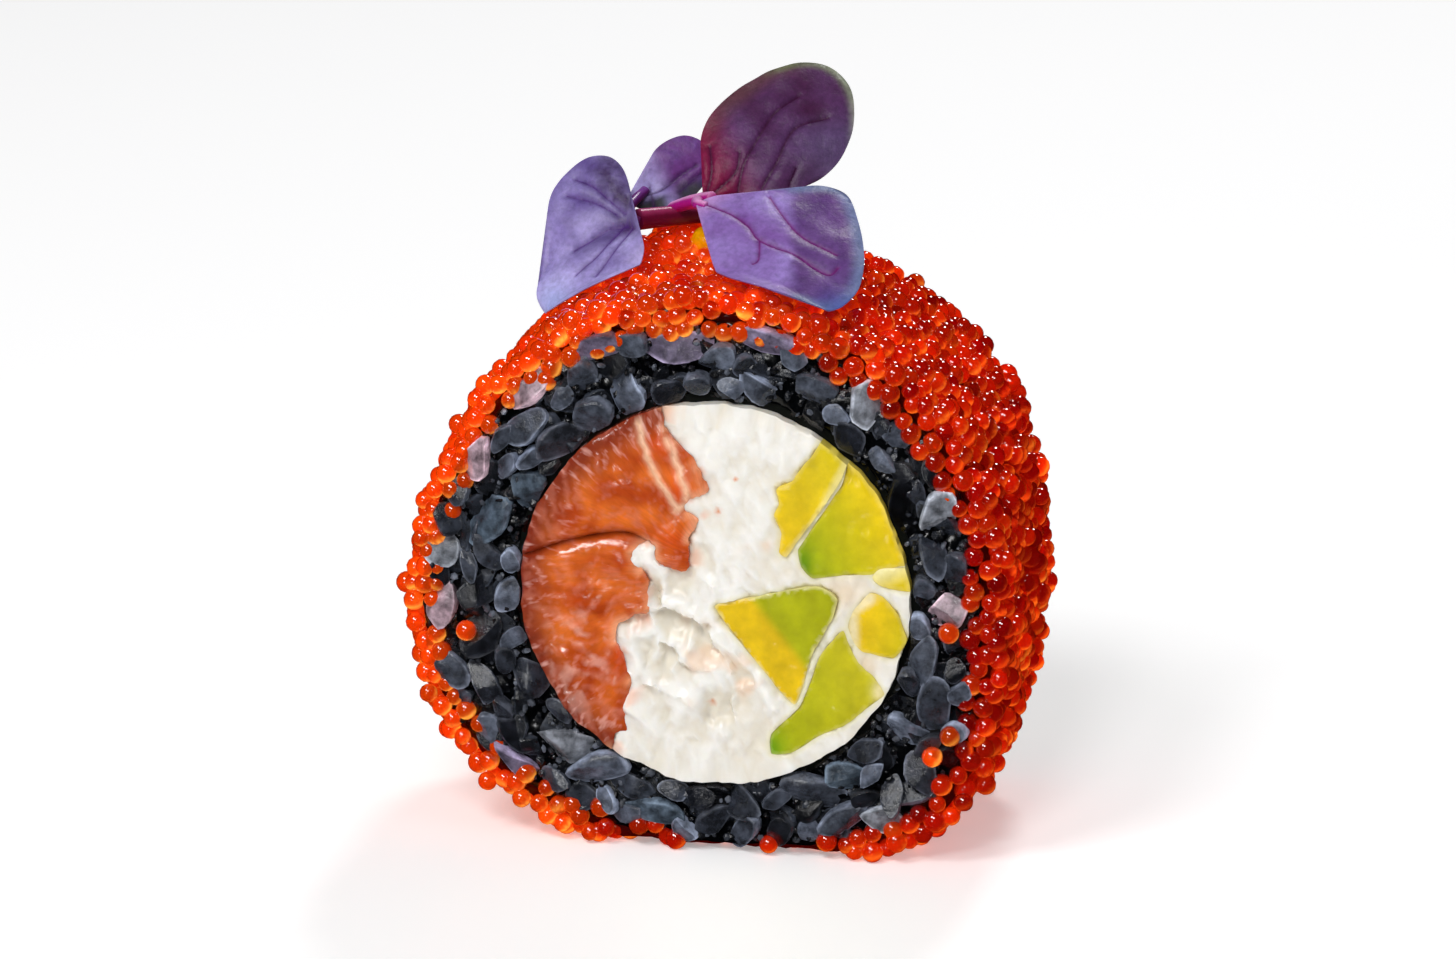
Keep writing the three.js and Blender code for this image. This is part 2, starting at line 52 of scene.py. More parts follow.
# %% [markdown]
# ## The roll's own measures
# The roll sagged while it lay, so its section is a round with three soft swellings and a slight
# dent. We write it as a radius for each angle about the roll's axis, where 0 degrees is at the
# right and 90 on top. A formula like this lets every layer follow the same shape at its own
# depth: rice, bed and roe. All lengths are millimetres until MM turns them to Blender's metres.

# %% Measures
SLICE_LENGTH = 24.0
AXIS_HEIGHT = 22.0  # of the roll's axis above the table
FACE = SLICE_LENGTH / 2  # the cut faces lie this far from the middle
RICE_RADIUS = 21.0
# where the section swells or dents: angle, height in mm, width in degrees
SWELLINGS = [(-43, 3.9, 25), (-151, 1.7, 32), (12, 1.5, 55), (138, -0.6, 22)]
ROE_LAYER = 2.3  # thickness of the coat
ROE_THIN = (180, 0.8, 45)  # the coat is thinner at the left: angle, mm, width in degrees
ROE_UNDER = 1.3  # from the table up to the rice
ROE_RADIUS = 0.84
FILLING_CENTRE = (1.7, -0.6)  # x and z from the roll's axis
FILLING_RADIUS = 15.5
NORI_OUTSIDE = 16.15  # radius of the seaweed's outside


def bell(angle, centre, height, width):
    """A soft bump of a height and a width round one angle, all angles in degrees."""
    away = (np.asarray(angle) - centre + 180) % 360 - 180
    return height * np.exp(-((away / width) ** 2))


def rice_radius(angle):
    return RICE_RADIUS + sum(bell(angle, *swelling) for swelling in SWELLINGS)


def coat_radius(angle):
    return rice_radius(angle) + ROE_LAYER - bell(angle, *ROE_THIN)


def filling_edge(angle, radius):
    """How far the round filling reaches from the roll's axis at an angle."""
    turn = np.radians(angle)
    cx, cz = FILLING_CENTRE
    along = cx * np.cos(turn) + cz * np.sin(turn)
    return along + np.sqrt(along**2 - cx**2 - cz**2 + radius**2)


print("the coat is", round(float(coat_radius(0) + coat_radius(180)), 1), "mm wide")

# %% [markdown]
# ## Making meshes
# Every piece is plain mesh data: points, faces and, where it helps, a colour for each point. One
# function takes millimetres about the roll's axis and makes the object in metres on the table, so
# no piece needs to be moved afterwards. A ring of rice or roe is a grid bent into a closed loop.

# %% Mesh helpers
random = np.random.default_rng(42)  # seeded, so that every run builds the same slice


def make_piece(name, points, faces, material, stands_for, colours=None, sharp=None):
    """Builds one piece. stands_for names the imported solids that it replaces.

    colours holds values for each point, and edges sharper than sharp degrees stay crisp.
    """
    mesh = bpy.data.meshes.new(name)
    placed = (np.asarray(points) + (0, 0, AXIS_HEIGHT)) * MM
    mesh.from_pydata(placed.tolist(), [], [list(map(int, face)) for face in faces])
    mesh.polygons.foreach_set("use_smooth", np.ones(len(mesh.polygons), bool))
    mesh.materials.append(material)
    for layer, values in (colours or {}).items():
        stored = mesh.color_attributes.new(layer, "FLOAT_COLOR", "POINT")
        channels = np.ones((len(placed), 4), np.float32)
        channels[:, :3] = values if np.ndim(values) == 2 else np.asarray(values)[:, None]
        stored.data.foreach_set("color", channels.ravel())
    if sharp is not None:
        mesh.set_sharp_from_angle(angle=math.radians(sharp))
    piece = bpy.data.objects.new(name, mesh)
    bpy.context.scene.collection.objects.link(piece)
    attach(piece, "root")
    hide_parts(*stands_for)
    print(f"{name}: {len(mesh.polygons)} faces")


def section(angle, radius, floor):
    """A point of the section, flattened where the roll lies on the table."""
    turn = np.radians(angle)
    x = radius * np.cos(turn)
    z = np.maximum(radius * np.sin(turn), floor - AXIS_HEIGHT)
    return x, z


def ring_faces(rows, columns):
    """Four-sided faces of a grid that closes both ways."""
    row, column = np.meshgrid(np.arange(rows), np.arange(columns), indexing="ij")
    next_row = (row + 1) % rows * columns
    row = row * columns
    next_column = (column + 1) % columns
    corners = (row + column, row + next_column, next_row + next_column, next_row + column)
    return np.stack(corners, -1).reshape(-1, 4)


SEED_STEPS = (7.3, 3.1, 5.7)  # move each seed to a stretch of noise of its own
WAVE_FADE = 0.6  # how quickly the finer waves grow weaker
WAVE_RATIO = 2.0  # each finer wave is this many times shorter


def waves(points, size, seed, octaves=3):
    """Smooth random values, about -1 to 1, with one wave for each size in millimetres."""
    shift = Vector([seed * step for step in SEED_STEPS])
    return np.array([
        noise.fractal(Vector(point) / size + shift, WAVE_FADE, WAVE_RATIO, octaves)
        for point in points
    ])


def smooth_step(low, high, value):
    """From 0 at low to 1 at high with soft ends. Low may be the larger of the two."""
    t = np.clip((np.asarray(value, float) - low) / (high - low), 0, 1)
    return t * t * (3 - 2 * t)


def mixed(first, second, share):
    """Two colours, or a row of colours for each point, mixed by a share for each point."""
    share = np.clip(np.asarray(share, float), 0, 1)[..., None]
    return np.asarray(first) * (1 - share) + np.asarray(second) * share


print("mesh helpers ready")

# %% [markdown]
# ## Colour and shader helpers
# Screens and photographs give colours as sRGB hex values, while the renderer counts light, so one
# function turns hex to linear. Shader trees are built by one small function that adds a node,
# sets its values and links its inputs: reading a material then shows only what matters in it.

# %% Shader helpers


def linear(hex_colour):
    """The linear light of an sRGB hex colour, by the numbers of the sRGB standard."""
    channels = [int(hex_colour[i : i + 2], 16) / 255 for i in (1, 3, 5)]
    return [c / 12.92 if c <= 0.04045 else ((c + 0.055) / 1.055) ** 2.4 for c in channels]


def add_node(tree, kind, values=None, links=None, **settings):
    """Adds a node. values and links go to its inputs, settings to the node itself."""
    node = tree.nodes.new(kind)
    for setting, value in settings.items():
        setattr(node, setting, value)
    for socket, value in (values or {}).items():
        node.inputs[socket].default_value = value
    for socket, source in (links or {}).items():
        tree.links.new(source, node.inputs[socket])
    return node


def new_surface(name, **values):
    """A material with one Principled surface. Returns the material, its tree and that surface."""
    material = bpy.data.materials.new(name)
    material.use_nodes = True
    tree = material.node_tree
    tree.nodes.clear()
    named = {key.replace("_", " "): value for key, value in values.items()}
    surface = add_node(tree, "ShaderNodeBsdfPrincipled", named)
    add_node(tree, "ShaderNodeOutputMaterial", links={"Surface": surface.outputs[0]})
    return material, tree, surface


def per_mm(size):
    """A texture's scale for one wave each size millimetres, as textures count in metres."""
    return 1 / (size * MM)


def rgba(hex_colour):
    return (*linear(hex_colour), 1.0)


print("shader helpers ready")

# %% [markdown]
# ## Camera, light and table
# The photograph looks at the slice from a little to the right and above, about half a metre away,
# with a long lens that keeps the section round. A wide window at the upper left gives the soft
# light. A lamp above the camera gives each roe its white spark, a low one gives glints to wet
# faces that look forward, and one behind gives the back an edge of light. A weak lamp at the right
# fills the shadows. Wet food mirrors whatever is round it, so this weak lamp, the world and the
# table are kept out of its mirror: they would only wash out its colours.

# %% Camera
VIEW_AZIMUTH = 12.0  # degrees round from straight on, to the right
VIEW_ELEVATION = 17.0  # degrees above the level
VIEW_DISTANCE = 500.0
LOOKED_AT = (0.0, -FACE, AXIS_HEIGHT)  # the point that the distance is measured to
FRAMED_POINT = (1.2, -4.0, 28.6)  # what the frame is centred on
LENS = 158.0  # mm on a 36 mm wide sensor


def direction(azimuth, elevation):
    """Where degrees round and up point to; 0 degrees round is straight in front."""
    a, e = math.radians(azimuth), math.radians(elevation)
    return Vector((math.sin(a) * math.cos(e), -math.cos(a) * math.cos(e), math.sin(e)))


camera = bpy.data.objects.new("camera", bpy.data.cameras.new("camera"))
bpy.context.scene.collection.objects.link(camera)
seat = Vector(LOOKED_AT) + direction(VIEW_AZIMUTH, VIEW_ELEVATION) * VIEW_DISTANCE
camera.location = seat * MM
aim = Vector(FRAMED_POINT) - seat
camera.rotation_euler = aim.to_track_quat("-Z", "Y").to_euler()
camera.data.lens = LENS
camera.data.clip_start = 0.01  # metres, so that a closer view isn't cut off
bpy.context.scene.camera = camera
print("camera", round(aim.length), "mm away")

# %% Light and table
bpy.context.scene.view_settings.view_transform = "Standard"
LAMP_AIM = Vector((0, 0, 25))  # mm, the middle of the slice and its leaves
TABLE_WIDTH = 6.0  # metres, so that no view shows its edge


def add_lamp(name, azimuth, elevation, distance, size, power, mirrored=True):
    """A round lamp aimed at the slice: degrees round and up, mm away, mm wide and watts."""
    data = bpy.data.lights.new(name, "AREA")
    data.shape = "DISK"
    data.size = size * MM
    data.energy = power
    lamp = bpy.data.objects.new(name, data)
    bpy.context.scene.collection.objects.link(lamp)
    towards = direction(azimuth, elevation)
    lamp.location = (LAMP_AIM + towards * distance) * MM
    lamp.rotation_euler = (-towards).to_track_quat("-Z", "Y").to_euler()
    lamp.visible_glossy = mirrored


add_lamp("window", -32, 49, 700, 220, 1.7)
add_lamp("spark", 0, 42, 800, 190, 1.7)
add_lamp("low_glint", -16, 9, 900, 110, 0.45)
add_lamp("back_window", 172, 48, 700, 130, 1.4)
add_lamp("side_fill", 65, 25, 800, 300, 0.4, mirrored=False)

world = bpy.data.worlds.new("studio")
bpy.context.scene.world = world
world.use_nodes = True
world.node_tree.nodes["Background"].inputs["Color"].default_value = rgba("#F4F4F6")
world.node_tree.nodes["Background"].inputs["Strength"].default_value = 0.3
world.cycles_visibility.glossy = False

# pressed laminate: an even white with a faint satin, which a little light of its own keeps plain
table_finish = new_surface(
    "white_laminate", Base_Color=rgba("#F6F6F6"), Roughness=0.45,
    Emission_Color=rgba("#FFFFFF"), Emission_Strength=0.3,
)[0]
bpy.ops.mesh.primitive_plane_add(size=TABLE_WIDTH)
table = bpy.context.object
table.name = "table"
table.data.materials.append(table_finish)
table.visible_glossy = False
print("five lamps and a table")

# %% [markdown]
# ## Roe
# Flying-fish roe are little spheres: a clear tough skin filled with orange oil and water. Light
# enters at the top, gathers, and leaves as a bright crescent low on the far side, while the side
# towards the lamp looks deeper. We make each roe a real sphere and paint that crescent into it as
# painted light: each point gets a lighter colour and a painted glow by how near it is to the
# crescent. To place them we scatter points on the unrolled coat and let neighbours push each other
# apart, as real ones settle.

# %% Packing the roe
ROE_SPACING = 1.5  # mm from one roe of the coat to the next
RIM_REACH = 2.1  # mm of coat seen on a cut face
CLOSE_ROWS = 0.87  # rows of closely packed rounds lie this share of their spacing apart
PUSHES = 24  # rounds of pushing until the roe have settled
PUSH_SHARE = 0.45  # how much of the missing room one push gives
LONGEST_PUSH = 0.4  # mm
ROE_SCATTER = 0.12  # mm, as real roe differ in size and never sit in rows


def pushed_apart(points, spacing, period, low, high):
    """Moves flat points until neighbours keep their spacing; x wraps round at the period."""
    points = points.copy()
    for _ in range(PUSHES):
        tree = kdtree.KDTree(len(points))
        for index, (x, y) in enumerate(points):
            tree.insert((x, y, 0), index)
        tree.balance()
        moves = np.zeros_like(points)
        for index, (x, y) in enumerate(points):
            for wrap in (-period, 0, period):
                for place, other, away in tree.find_range((x + wrap, y, 0), spacing):
                    if other != index:
                        step = PUSH_SHARE * (spacing - away) / max(away, 1e-3)
                        moves[index] += step * (x + wrap - place.x), step * (y - place.y)
        points += np.clip(moves, -LONGEST_PUSH, LONGEST_PUSH)
        points[:, 0] %= period
        points[:, 1] = np.clip(points[:, 1], low, high)
    return points


perimeter = 2 * math.pi * (RICE_RADIUS + ROE_LAYER)
path = SLICE_LENGTH - 2 * ROE_RADIUS + 2 * RIM_REACH  # over both rims and the coat between
count = int(perimeter * path / (ROE_SPACING**2 * CLOSE_ROWS))
start = random.random((count, 2)) * (perimeter, path)
coat_plan = pushed_apart(start, ROE_SPACING, perimeter, 0, path)
coat_plan += random.normal(0, ROE_SCATTER, coat_plan.shape)
roe_angle = coat_plan[:, 0] / perimeter * 360
along_path = coat_plan[:, 1] - RIM_REACH
print("roe in the coat:", count)

# %% Roe in the coat
ROE_SUNK = 0.85  # how deep a roe's middle lies in the coat, in roe radii
ROE_UNEVEN = 0.2  # mm that roe stand out or back by chance
ROE_SIZES = (0.82, 1.08)  # the smallest and the largest, in usual radii
half = FACE - ROE_RADIUS
roe_y = np.clip(along_path, 0, 2 * half) - half
rim_depth = np.maximum(-along_path, along_path - 2 * half).clip(0)
lift = random.normal(0, ROE_UNEVEN, count)
roe_out = coat_radius(roe_angle) - ROE_SUNK * ROE_RADIUS - rim_depth + lift
roe_size = random.uniform(*ROE_SIZES, count) * ROE_RADIUS
print("roe that show on the cut faces:", int((rim_depth > 0).sum()))

# %% Roe on top of the coat
PILED = 330  # roe that lie on the coat all round
PILED_SUNK = 0.05  # how deep their middles lie in the coat, in roe radii
PILED_UNEVEN = 0.12  # mm
piled_angle = random.uniform(0, 360, PILED)
piled_y = random.uniform(-half, half, PILED)
piled_out = coat_radius(piled_angle) - PILED_SUNK * ROE_RADIUS
piled_out += random.normal(0, PILED_UNEVEN, PILED)

HEAP = 120  # roe heaped under the stems, behind the drop of sauce
HEAP_ANGLES = (90, 119)
HEAP_LIFT = (0.1, 1.25)  # mm above the coat
SAUCE_SIDE = 98  # degrees; below this angle the heap starts behind the sauce
HEAP_BACK = 11.0
heap_angle = random.uniform(*HEAP_ANGLES, HEAP)
heap_front = np.where(heap_angle < SAUCE_SIDE, 7.5, 1.5)
heap_y = random.uniform(heap_front, HEAP_BACK)
heap_out = coat_radius(heap_angle) + random.uniform(*HEAP_LIFT, HEAP)

# single roe that stand out of the coat: angle and y
LOOSE_ROE = [
    (138, -10.6), (184, -9.8), (226, -10.4), (214, -9.2), (-34, -9.5), (18, -4.5), (-8, 3.5),
]
LOOSE_LIFT = 0.25
loose_angle, loose_y = np.array(LOOSE_ROE, float).T
loose_out = coat_radius(loose_angle) + LOOSE_LIFT

TOP_SIZES = (0.86, 1.05)  # in usual radii
all_angle = np.concatenate([roe_angle, piled_angle, heap_angle, loose_angle])
all_y = np.concatenate([roe_y, piled_y, heap_y, loose_y])
all_out = np.concatenate([roe_out, piled_out, heap_out, loose_out])
extra = len(all_angle) - count
all_size = np.concatenate([roe_size, random.uniform(*TOP_SIZES, extra) * ROE_RADIUS])
roe_x, roe_z = section(all_angle, all_out, ROE_RADIUS)
centres = np.stack([roe_x, all_y, roe_z], 1)
print("roe in and on the coat:", len(centres))

# %% The worn patch and the strays
# the coat is worn thin under the front edge, where the rice shows nearly down to the table
WORN_DEPTH = 2.4  # mm behind the front face
WORN_X, WORN_HALF_WIDTH = 2.5, 9.5
WORN_BELOW = -17  # mm, counted from the roll's axis
WORN_REST = 0.2  # share of the roe that stay there
worn = (centres[:, 1] < -FACE + WORN_DEPTH) & (centres[:, 2] < WORN_BELOW)
worn &= abs(centres[:, 0] - WORN_X) < WORN_HALF_WIDTH
kept = ~worn | (random.random(len(centres)) < WORN_REST)
centres, all_size, all_angle = centres[kept], all_size[kept], all_angle[kept]

# the knife carried a few roe onto the face of the rice: x and z
STRAY_ROE = [(20.4, -2.4), (-18.2, -4.6), (20.6, -10.8), (19.2, -12.6)]
STRAY_LIFT = 0.25  # mm that their middles stand before the face
strays = np.array([(x, -FACE - STRAY_LIFT, z) for x, z in STRAY_ROE])
centres = np.concatenate([centres, strays])
all_size = np.concatenate([all_size, np.full(len(strays), ROE_RADIUS)])
all_angle = np.concatenate([all_angle, np.zeros(len(strays))])
print("roe placed:", len(centres))

# %% [markdown]
# ### The colour of each roe
# Roe isn't one orange. Its redness is painted by place as light and shade: amber on the left,
# towards the window, and in front, vermilion on top, and crimson on the right, away from the
# window, and beneath. A place on the roll gives a likely redness and chance does the rest. The
# colours are stored point by point, so one finish serves all of them; the roe are kept in three
# pieces only to keep each piece light.

# %% One roe and its tones
SEGMENTS, RINGS = 12, 8  # as few faces as still look round at this size
LIGHT_FROM = np.array(direction(-30, 52))  # about where the window is
# amber, vermilion and crimson: the body of a roe, and the painted light of its crescent
DEEP_ROE = [linear(shade) for shade in ("#EC4606", "#E02603", "#B00704")]
CRESCENT_LIGHT_ROE = [linear(shade) for shade in ("#FFC04A", "#FF8A24", "#FF5214")]


def small_sphere():
    """The points and faces of a ball. The faces are sorted, as Blender's order isn't fixed."""
    sphere = bmesh.new()
    bmesh.ops.create_uvsphere(sphere, u_segments=SEGMENTS, v_segments=RINGS, radius=1.0)
    points = np.array([vertex.co[:] for vertex in sphere.verts])
    faces = sorted([vertex.index for vertex in face.verts] for face in sphere.faces)
    sphere.free()
    return points, faces


def random_turn():
    axis = Vector(random.normal(size=3)).normalized()
    return np.array(Matrix.Rotation(random.uniform(0, 2 * math.pi), 3, axis))


def three_tones(tones, share):
    """A colour between three, for a share from 0 to 1."""
    return mixed(mixed(tones[0], tones[1], 2 * share), tones[2], 2 * share - 1)


ball_points, ball_faces = small_sphere()
print("corners of one roe:", len(ball_points))

# %% How red each roe is
CHANCE_RED = 0.2  # how far chance moves the redness


def redness(angle, y):
    """0 is amber and 1 crimson: painted shade right and beneath, painted light left and in front."""
    right = smooth_step(80, 15, np.abs((angle + 180) % 360 - 180))
    left = bell(angle, 200, 0.58, 60) + bell(angle, 126, 0.45, 38)
    front = smooth_step(-8, -12, y) * (1 - right)
    under = bell(angle, 268, 0.5, 24)
    return 0.5 + 0.3 * right - left - 0.22 * front + under


likely = redness(all_angle, centres[:, 1]) + random.normal(0, CHANCE_RED, len(centres))
likely[-len(strays):] = 0.0  # the strays are all amber
VERMILION_FROM, CRIMSON_FROM = 0.3, 0.62
kinds = {
    "roe_amber": np.flatnonzero(likely < VERMILION_FROM),
    "roe_vermilion": np.flatnonzero((likely >= VERMILION_FROM) & (likely < CRIMSON_FROM)),
    "roe_crimson": np.flatnonzero(likely >= CRIMSON_FROM),
}
print({name: len(chosen) for name, chosen in kinds.items()})

# %% Heaps of roe
# painted light: each roe's crescent is painted lighter into its colour and glows, and its whole body
# glows a little
CRESCENT_AT = 0.4  # from 0 at the middle of a roe to 1 at the point farthest from the light
CRESCENT_WIDTH = 0.3
CRESCENT_STRAY = 0.3  # neighbours bend the light, so that no two crescents lie alike
CRESCENT_COLOUR = 0.85  # share of the bright tone in a full crescent
BODY_GLOW = 0.15  # of the glow of a full crescent


def roe_heap(chosen):
    """Joined spheres, with each point's colour, lit by a painted crescent, and its painted glow."""
    points, faces, crescent_lit_skins, painted_glows = [], [], [], []
    for order, index in enumerate(chosen):
        turned = ball_points @ random_turn().T
        light = Vector(LIGHT_FROM + random.normal(0, CRESCENT_STRAY, 3)).normalized()
        away = -(turned @ light)
        crescent = np.exp(-(((away - CRESCENT_AT) / CRESCENT_WIDTH) ** 2))
        crescent *= random.uniform(0.5, 1.0)
        deep = three_tones(DEEP_ROE, likely[index])
        bright = three_tones(CRESCENT_LIGHT_ROE, likely[index])
        points.append(centres[index] + turned * all_size[index])
        faces.extend([[corner + order * len(turned) for corner in face] for face in ball_faces])
        # a tone of each roe's own by chance, darker for the red ones, whose redness is partly
        # painted shade
        tone_and_shade = random.uniform(0.72 - 0.24 * likely[index], 1.12)  # red ones are darker
        # painted light: the crescent lightens the colour, and the glow below makes it shine
        crescent_lit_skins.append(mixed(deep, bright, CRESCENT_COLOUR * crescent) * tone_and_shade)
        painted_glows.append(BODY_GLOW + (1 - BODY_GLOW) * crescent)
    return np.concatenate(points), faces, np.concatenate(crescent_lit_skins), np.concatenate(painted_glows)


print("roe heaps ready")

# %% Roe finish
# painted glow: emission stands in for light that has passed through the roe
ROE_GLOW = 0.9  # light that has passed through the roe and leaves at its crescent
# a tight wet skin over clear oil: a hard white spark outside, and a body lit from within by a
# painted glow
roe_finish, tree, surface = new_surface(
    "wet_roe", Roughness=0.08, IOR=1.4, Specular_IOR_Level=1.0, Transmission_Weight=0.5,
    Coat_Weight=1.0, Coat_Roughness=0.05, Coat_IOR=1.6, Emission_Strength=ROE_GLOW,
)
skin = add_node(tree, "ShaderNodeAttribute", attribute_name="skin")
glow = add_node(tree, "ShaderNodeAttribute", attribute_name="glow")
shine = add_node(
    tree, "ShaderNodeVectorMath", links={0: skin.outputs["Color"], 1: glow.outputs["Fac"]},
    operation="MULTIPLY",
)
tree.links.new(skin.outputs["Color"], surface.inputs["Base Color"])
tree.links.new(shine.outputs["Vector"], surface.inputs["Emission Color"])

for name, chosen in kinds.items():
    points, faces, crescent_lit_skins, painted_glows = roe_heap(chosen)
    # skin holds each point's colour with the crescent's painted light, and glow holds its painted
    # glow
    layers = {"skin": crescent_lit_skins, "glow": painted_glows}
    make_piece(name, points, faces, roe_finish, ["roe_crust"], layers)

# %% [markdown]
# ### The bed under the roe
# Between the top roe more roe shows, too deep to make out. A closed ring of dark red with bumps
# of roe size fills the coat behind the spheres and stands for it, painted dark as shade, so that
# gaps between them look deep and red.

# %% Roe bed
RING_COLUMNS = 300  # points round a ring of roe or rice
BED_DEPTH = 1.25  # mm below the coat's outside
BED_INSET = 1.6  # mm behind a cut face
BED_ROWS = 36  # from the front to the back
BED_OVERLAP = 0.4  # mm that it reaches into the rice
BED_BUMP, BED_BUMP_SIZE = 0.25, 1.6  # mm high, and mm from one to the next
BED_FLOOR, BED_LOWEST = 0.4, 0.3  # mm above the table, before and after the bumps
angles = np.arange(RING_COLUMNS) * 360 / RING_COLUMNS


def ring_points(rows, floor):
    """Rows are (radius for each angle, y); the ring closes from the last row to the first."""
    points = []
    for radius, y in rows:
        x, z = section(angles, radius, floor)
        points.append(np.stack([x, np.full(len(angles), y), z], 1))
    return np.concatenate(points)


bed_inner = rice_radius(angles) - BED_OVERLAP
bed_outer = coat_radius(angles) - BED_DEPTH
bed_rows = [(bed_inner, -FACE + BED_INSET)]
bed_rows += [(bed_outer, y) for y in np.linspace(-FACE + BED_INSET, FACE - BED_INSET, BED_ROWS)]
bed_rows += [(bed_inner, FACE - BED_INSET)]
bed_points = ring_points(bed_rows, BED_FLOOR)
outward = bed_points * (1, 0, 1)
outward /= np.linalg.norm(outward, axis=1)[:, None]
bed_points += outward * (BED_BUMP * waves(bed_points, BED_BUMP_SIZE, 3, 2))[:, None]
bed_points[:, 2] = np.maximum(bed_points[:, 2], BED_LOWEST - AXIS_HEIGHT)
# roe deep in the coat: a wet red painted dark as shade, which light leaves only as red
bed_finish = new_surface(
    "deep_roe_painted_shade", Base_Color=rgba("#480301"), Roughness=0.2, IOR=1.36, Specular_IOR_Level=0.3,
    Subsurface_Weight=0.2, Subsurface_Scale=1.2 * MM, Subsurface_Radius=(1.0, 0.25, 0.06),
)[0]
bed_faces = ring_faces(len(bed_rows), RING_COLUMNS)
make_piece("roe_bed", bed_points, bed_faces, bed_finish, ["roe_crust"])

# %% [markdown]
# ## Black rice
# Black rice is a whole grain whose bran stains it blue-black. Cooked and cut, the grains show as
# flat glassy plates, pressed against each other and cut by the knife, on a nearly black paste. We
# make a dark ring as the imported core. On both cut faces we lay real grains, the big ones first
# and ever smaller ones where there is still room, with a layer of grains beneath painted darker
# as shade.

# %% Rice core
CORE_FACE = FACE - 1.15  # the grains stand before it
CORE_RINGS = 13  # from the seaweed out to the roe
CORE_FLOOR = ROE_UNDER - 0.7
CORE_ROUGH, CORE_ROUGH_SIZE = 0.4, 1.3  # mm high, and mm from one bump to the next
core_inner = filling_edge(angles, NORI_OUTSIDE - 0.3)  # a little under the seaweed
core_outer = rice_radius(angles) + 0.1  # and a little under the roe
core_depth = core_outer - core_inner
core_shares = np.linspace(0, 1, CORE_RINGS)
core_rows = [(core_inner + share * core_depth, -CORE_FACE) for share in core_shares]
core_rows += [(core_outer - share * core_depth, CORE_FACE) for share in core_shares]
core_points = ring_points(core_rows, CORE_FLOOR)
roughness = CORE_ROUGH * waves(core_points, CORE_ROUGH_SIZE, 5, 3)
core_points[:, 1] += roughness * np.sign(core_points[:, 1])

# burst starch stained by the bran: nearly black and glassy
core_finish = new_surface(
    "rice_paste", Base_Color=rgba("#040507"), Roughness=0.16, IOR=1.42, Specular_IOR_Level=0.6
)[0]
core_faces = ring_faces(len(core_rows), RING_COLUMNS)
make_piece("rice_core", core_points, core_faces, core_finish, ["black_rice"])

# %% Where the grains lie
TONES = {
    "grey": "#6C7078", "blue": "#3D4854", "dark": "#2A2D35", "lilac": "#5C5468", "pink": "#8A757E",
}
# single grains that stand out on the front: x, z, length, width, turn in degrees, tone
MARKED_GRAINS = [
    (-10.6, -14.0, 5.6, 3.3, -6, "grey"), (13.7, 15.3, 3.9, 3.2, 80, "grey"),
    (-10.6, 11.2, 4.7, 3.2, 35, "dark"), (-13.2, 7.0, 3.3, 3.1, 50, "blue"),
    (17.4, 8.3, 3.4, 1.8, 100, "dark"), (12.2, -15.0, 4.2, 2.2, -8, "blue"),
    (18.3, -14.2, 4.2, 2.7, 95, "dark"), (15.0, -18.3, 3.4, 2.3, -10, "grey"),
    (20.2, -0.9, 3.3, 3.0, 10, "pink"), (19.4, 6.8, 4.3, 2.8, 70, "grey"),
    (-7.6, 18.9, 4.0, 2.4, 20, "lilac"), (-13.6, 15.2, 4.8, 2.5, 45, "pink"),
    (-17.5, 9.2, 4.3, 2.5, 65, "pink"), (-20.6, 2.0, 3.9, 3.3, 85, "grey"),
    (-20.6, -2.7, 4.0, 2.6, 75, "pink"), (-16.4, 4.6, 5.2, 3.4, 60, "blue"),
    (-14.0, -16.0, 5.6, 1.5, -45, "lilac"), (-1.6, 19.2, 6.2, 2.4, 8, "lilac"),
    (5.4, 20.0, 5.4, 2.0, -6, "lilac"), (-3.0, -18.9, 5.6, 1.9, -3, "blue"),
]
# usual grains: length, width and how many throws to place them
GRAIN_SIZES = [(4.8, 2.9, 120), (3.9, 2.5, 500), (3.2, 2.1, 1200), (2.4, 1.7, 2400)]
FIELD = 27  # mm, half the width of the square that the grains are thrown on
BORDER_ROOM = 0.8  # of its own half size, from a grain's middle to the border of the rice
TURN_SCATTER = 0.6  # radians away from lying along the ring
STRETCHES = (0.85, 1.2)  # some grains are longer and narrower than usual


def room(x, z):
    """Room left round a point of the rice's face, in mm; negative means outside."""
    angle = np.degrees(np.arctan2(z, x))
    to_coat = rice_radius(angle) - np.hypot(x, z)
    to_band = np.hypot(x - FILLING_CENTRE[0], z - FILLING_CENTRE[1]) - FILLING_RADIUS
    to_table = z + AXIS_HEIGHT - 0.6
    return np.minimum(np.minimum(to_coat, to_band), to_table)


def grain_plan(marked, closeness):
    """Rows of x, z, length, width, turn and tone.

    A closeness of 1 keeps grains apart, and less lets them overlap a little.
    """
    plan = [(x, z, a, b, math.radians(turn), TONES[tone]) for x, z, a, b, turn, tone in marked]
    for length, width, throws in GRAIN_SIZES:
        for x, z in random.uniform(-FIELD, FIELD, (throws, 2)):
            own = math.sqrt(length * width) / 2
            if room(x, z) < BORDER_ROOM * own:
                continue
            if all(math.hypot(x - p[0], z - p[1]) > closeness * (own + math.sqrt(p[2] * p[3]) / 2)
                   for p in plan):
                turn = math.atan2(z, x) + math.pi / 2 + random.normal(0, TURN_SCATTER)
                stretch = random.uniform(*STRETCHES)
                plan.append((x, z, length * stretch, width / stretch, turn, None))
    return plan


front_plan = grain_plan(MARKED_GRAINS, 0.8)
back_plan = grain_plan([], 0.8)
deep_plan = grain_plan([], 0.75)
print("grains:", len(front_plan), "in front,", len(back_plan), "behind,", len(deep_plan), "beneath")

